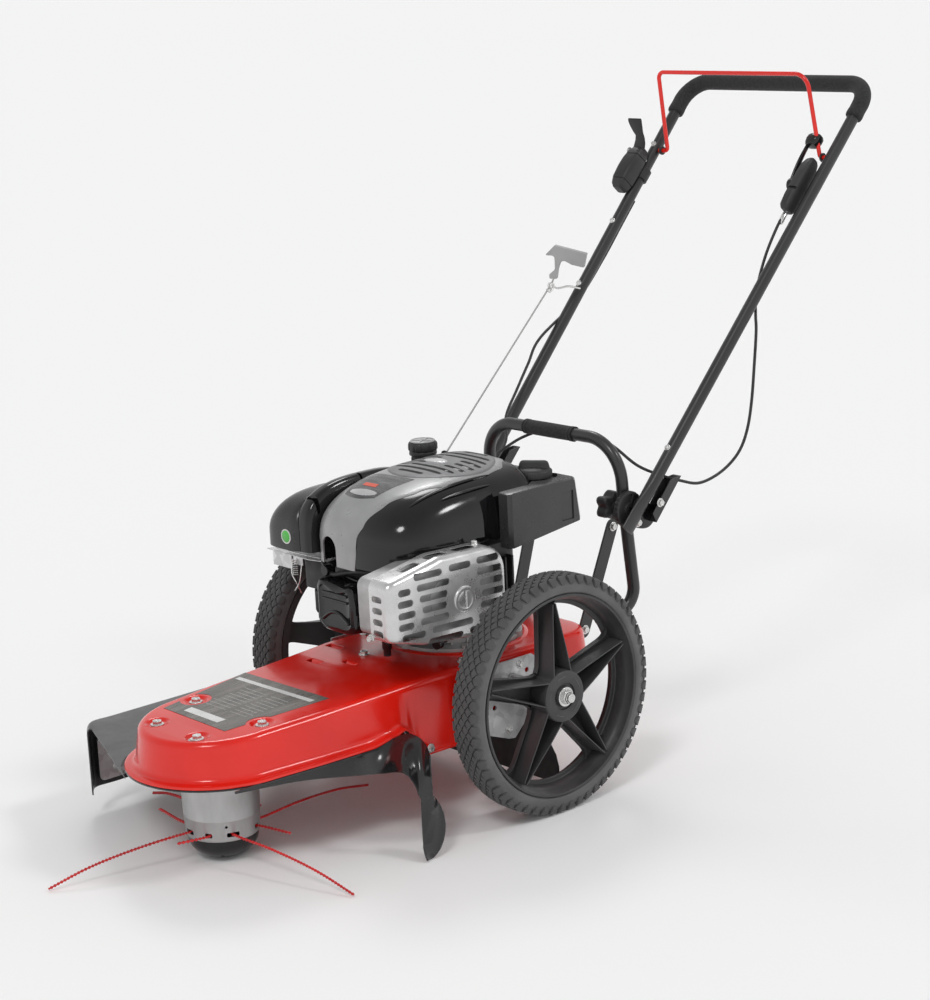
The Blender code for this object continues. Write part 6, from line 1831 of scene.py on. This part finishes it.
def throttle_control():
    """Slim housing inside the right tube with a slotted tail, and a lever with a rounded cap."""
    shell = pod(1, 0.7, [(-0.057, 0.186, 0.198, 0.002, 0.02), (-0.056, 0.184, 0.2, -0.001, 0.023),
                         (-0.05, 0.1815, 0.2012, -0.0045, 0.0265),
                         (-0.03, 0.1802, 0.2018, -0.0058, 0.0278),
                         (0.02, 0.1802, 0.2018, -0.0058, 0.0278), (0.04, 0.181, 0.2014, -0.005, 0.0262),
                         (0.052, 0.184, 0.2, -0.001, 0.022), (0.057, 0.187, 0.198, 0.003, 0.018)])
    slot = pod(1, 0.7, [(-0.044, 0.17, 0.183, 0.004, 0.018), (-0.026, 0.17, 0.183, 0.004, 0.018)], 24, 0.6)
    waist = pod(1, 0.7, [(-0.0185, 0.176, 0.206, 0.0235, 0.034), (-0.0125, 0.176, 0.206, 0.0235, 0.034)],
                24, 0.5)
    piece("throttle_housing", shell, "matt", "handle", "throttle_housing", angle=45, cuts=join(slot, waist))
    ferrule = lathe([(0.0028, -0.024), (0.0048, -0.024), (0.0052, -0.022), (0.0052, -0.004),
                     (0.0044, -0.003),
                     (0.0044, 0.0015), (0.003, 0.0015)], tube_point(0.641, 1, 0.01, 0.192), UP_TUBE, 28,
                    closed=True)
    piece("throttle_ferrule", ferrule, "bolt", "handle", angle=40)
    end = tube_point(0.792, 1, 0.021, 0.1725)
    begin = THROTTLE_PIVOT - UP_TUBE * 0.002
    path = []
    for step in range(13):
        part = step / 12
        point = Vector((0.1725, begin.y, begin.z)).lerp(Vector((0.1725, end.y, end.z)), part)
        path.append(point + OFF_TUBE * 0.004 * math.sin(math.pi * part))

    def arm(index):
        part = index / 12
        return rounded_rectangle(0, 0, 0.013 - 0.0058 * part, 0.005, 0.002, 3)
    cap = pod(1, 0.792, [(-0.0125, 0.1715, 0.185, 0.015, 0.027), (-0.0115, 0.1695, 0.19, 0.012, 0.03),
                         (-0.007, 0.1682, 0.1935, 0.0095, 0.0325), (0.0, 0.1675, 0.195, 0.0085, 0.0335),
                         (0.007, 0.168, 0.1955, 0.0095, 0.0325), (0.011, 0.17, 0.1935, 0.012, 0.03),
                         (0.0125, 0.174, 0.189, 0.016, 0.026)], 32, 0.55)
    hub = lathe([(0, 0.1702), (0.011, 0.1702), (0.012, 0.1712), (0.012, 0.18), (0, 0.18)],
                (0, THROTTLE_PIVOT.y, THROTTLE_PIVOT.z), (1, 0, 0), 40)
    piece("throttle_lever", join(loft(sweep(path, arm)), cap, hub), "gloss", "throttle_lever",
          "throttle_lever", bevel=0.0003, angle=45)
    screw = hex_bolt((0.1698, THROTTLE_PIVOT.y, THROTTLE_PIVOT.z), (-1, 0, 0), 0.004, 0.0026, 0.006, 0.0008)
    piece("throttle_screw", screw, "bolt", "throttle_lever", bevel=0.0002, angle=30)


ROPE_EXIT = Vector((-0.075, 0.6, 0.565))
ROPE_EYE = Vector((-0.19, 0.964, 0.788))
COIL_STEPS, COIL_RADIUS, COIL_LENGTH = 32, 0.0052, 0.0084


def strand(name, route, radius, spacing, sides, mat, ends, start, end, *nodes):
    """A rod along a smooth curve through the route, left unattached with its transform baked."""
    obj = to_object(name, rod(smooth_curve(route, spacing), radius, sides), 60)
    obj.data.materials.clear()
    obj.data.materials.append(M[mat].material)
    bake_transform(obj)
    if nodes:
        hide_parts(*nodes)


def starter():
    centre = Vector((-0.171, 0.988, 0.843))
    bar = [(-0.04, -0.001, 0.0015), (-0.021, 0.017, 0.002), (0.039, 0.0, 0.002), (0.033, -0.026, 0.002)]
    hollow = [(0.01, -0.02, 0.008), (-0.009, -0.009, 0.008)]
    stem = [(-0.016, -0.028, 0.012), (-0.019, -0.046, 0.002), (-0.033, -0.045, 0.002),
            (-0.033, -0.037, 0.002), (-0.022, -0.028, 0.006), (-0.022, -0.002, 0.006)]
    rings = []
    for across in (-0.008, 0.008):
        rings.append([centre + Vector((0.8 * u - 0.6 * across, 0.6 * u + 0.8 * across, v))
                      for u, v in rounded_outline(bar + hollow + stem, 5)])
    foot = ROPE_EYE + Vector((0.003, 0.004, 0.01))
    piece("starter_grip", loft(rings), "grip_grey", "starter", "starter_grip", bevel=0.0018, steps=4,
          angle=50)
    inside = ROPE_EXIT - (ROPE_EYE - ROPE_EXIT).normalized() * 0.03
    strand("starter_rope", [inside, ROPE_EXIT, ROPE_EXIT.lerp(ROPE_EYE, 0.5), ROPE_EYE], 0.0016, 0.008, 10,
           "rope", ("chassis", "handle"), ROPE_EXIT, ROPE_EYE, "starter_rope")
    strand("starter_rope_end", [ROPE_EYE - (ROPE_EYE - ROPE_EXIT).normalized() * 0.0005, foot], 0.0016,
           0.0002, 10, "rope", ("handle", "starter"), ROPE_EYE, foot)
    base = tube_point(0.437, -1)
    hook = [Vector((-0.201, base.y, base.z)) + OFF_TUBE * 0.0125, Vector((-0.2, 1.018, 0.776)),
            Vector((-0.1965, 0.985, 0.777))]
    coil = []
    for k in range(COIL_STEPS + 1):
        turn = 2 * math.pi * k / 22 + math.pi * 0.5
        coil.append(ROPE_EYE + Vector((-0.004 + COIL_LENGTH * k / COIL_STEPS, COIL_RADIUS * math.cos(turn),
                                       COIL_RADIUS * math.sin(turn) - 0.004)))
    tail = [coil[-1] + Vector((0.002, -0.01, -0.004)), coil[-1] + Vector((0.004, -0.018, 0.002))]
    wire = rod(smooth_curve(hook + coil + tail, 0.003), 0.002, 12, (0, 0, 1))
    piece("rope_guide", wire, "bolt", "handle", "rope_guide", angle=60)
    bush = lathe([(0.002, 0.0), (0.0075, 0.0), (0.008, 0.001), (0.007, 0.003), (0.0045, 0.0042),
                  (0.002, 0.0042)],
                 inside - (ROPE_EYE - ROPE_EXIT) * 0.004, (ROPE_EYE - ROPE_EXIT), 32, closed=True)
    piece("rope_bush", bush, "matt", "chassis", angle=45)


CABLE_RIGHT = [(0.193, 1.165, 0.896), (0.192, 1.131, 0.845), (0.198, 1.098, 0.786),
               (0.216, 1.074, 0.748), (0.236, 1.052, 0.726), (0.24, 1.041, 0.67),
               (0.24, 1.031, 0.6), (0.239, 1.018, 0.55), (0.237, 0.996, 0.514),
               (0.234, 0.955, 0.488),
               (0.228, 0.905, 0.476), (0.215, 0.869, 0.485), (0.19, 0.843, 0.497),
               (0.16, 0.818, 0.515), (0.11, 0.805, 0.548), (0.05, 0.8, 0.562),
               (-0.02, 0.795, 0.563), (-0.075, 0.77, 0.545), (-0.095, 0.72, 0.52)]
CABLE_LEFT = [(-0.226, 1.175, 0.915), (-0.224, 1.1, 0.844), (-0.221, 1.025, 0.762),
              (-0.212, 0.95, 0.686), (-0.204, 0.909, 0.644), (-0.195, 0.869, 0.602),
              (-0.185, 0.83, 0.56), (-0.15, 0.795, 0.525), (-0.12, 0.74, 0.5),
              (-0.1, 0.7, 0.48)]


def cables():
    strand("cable_right", [tube_point(0.632, 1, 0.01, 0.192)] + CABLE_RIGHT, 0.0027, 0.007, 12, "matt",
           ("chassis", "handle"), (0.1, 0.805, 0.5), (0.1, 0.905, 0.5), "cable_right")
    hidden = [tube_point(0.66, -1, -0.0145), tube_point(0.6, -1, -0.0145), tube_point(0.52, -1, -0.0142),
              tube_point(0.43, -1, -0.0145, 0.222)]
    strand("cable_left", hidden + CABLE_LEFT[3:], 0.0027, 0.007, 12, "matt", ("chassis", "handle"),
           (-0.1, 0.76, 0.5), (-0.1, 0.9, 0.5), "cable_left")


def build_rear():
    for word, side in SIDES:
        strut(word, side)
        adjuster(word, side)
        knob(word, side)
    carry_handle()
    upper_handle()
    foam_grip()
    bail()
    clutch_control()
    throttle_control()
    starter()
    cables()


# ---------------------------------------------------------------- stage
def stage():
    """Pale floor under a soft white dome, dimmer overhead, with three distant lamps."""
    material = bpy.data.materials.new("studio_floor")
    material.use_nodes = True
    shader = material.node_tree.nodes["Principled BSDF"]
    shader.inputs["Base Color"].default_value = (0.93, 0.93, 0.93, 1.0)
    shader.inputs["Roughness"].default_value = 1.0
    shader.inputs["Specular IOR Level"].default_value = 0.0
    floor = to_object("studio_floor", box((-300, -300, -0.02), (300, 300, -0.0002)))
    floor.data.materials.append(material)
    world = bpy.data.worlds.new("studio")
    bpy.context.scene.world = world
    world.use_nodes = True
    tree = world.node_tree
    split = tree.nodes.new("ShaderNodeSeparateXYZ")
    tree.links.new(tree.nodes.new("ShaderNodeTexCoord").outputs["Generated"], split.inputs["Vector"])
    height = tree.nodes.new("ShaderNodeMapRange")
    for socket, value in (("From Min", 0.0), ("From Max", 0.9), ("To Min", 0.95), ("To Max", 0.44)):
        height.inputs[socket].default_value = value
    tree.links.new(split.outputs["Z"], height.inputs["Value"])
    tree.links.new(height.outputs["Result"], tree.nodes["Background"].inputs["Strength"])
    tree.nodes["Background"].inputs["Color"].default_value = (1.0, 1.0, 1.0, 1.0)
    for name, towards, angle, power in (("key_light", (0.55, -1.0, 1.35), 14.0, 0.68),
                                        ("side_light", (1.0, 0.75, 1.2), 10.0, 0.5),
                                        ("back_light", (-0.9, 0.7, 1.25), 16.0, 0.5)):
        light = bpy.data.lights.new(name, "SUN")
        light.energy, light.angle = power, math.radians(angle)
        lamp = bpy.data.objects.new(name, light)
        lamp.rotation_euler = Vector(towards).to_track_quat("Z", "Y").to_euler()
        bpy.context.collection.objects.link(lamp)
    bpy.context.scene.view_settings.view_transform = "Standard"


CAMERA_PLACE = (2.989, -2.069, 1.425)
CAMERA_ANGLES = (48.71, 13.36, -2.88)      # azimuth, elevation and roll in degrees
CAMERA_LENS = 85.2


def camera():
    azimuth, elevation, roll = map(math.radians, CAMERA_ANGLES)
    back = Vector((math.sin(azimuth) * math.cos(elevation), -math.cos(azimuth) * math.cos(elevation),
                   math.sin(elevation)))
    level = Vector((math.cos(azimuth), math.sin(azimuth), 0))
    rise = back.cross(level)
    right = level * math.cos(roll) + rise * math.sin(roll)
    up = rise * math.cos(roll) - level * math.sin(roll)
    data = bpy.data.cameras.new("photo_camera")
    data.lens, data.sensor_width = CAMERA_LENS, 36.0
    data.clip_end = 100.0
    eye = bpy.data.objects.new("photo_camera", data)
    axes = Matrix((right, up, back)).transposed().to_4x4()
    eye.matrix_world = Matrix.Translation(CAMERA_PLACE) @ axes
    bpy.context.collection.objects.link(eye)
    bpy.context.scene.camera = eye


def build_front():
    for word, side in SIDES:
        tyre(f"tyre_{word}", f"wheel_{word}", side)
        rim(f"rim_{word}", f"wheel_{word}", side)
        axle(f"axle_pin_{word}", side)
        axle_plate(word, side)
    deck()
    label()
    side_guard()
    rear_guard()
    rear_flap()
    head()


stage()
camera()
build_front()
build_engine()
build_rear()
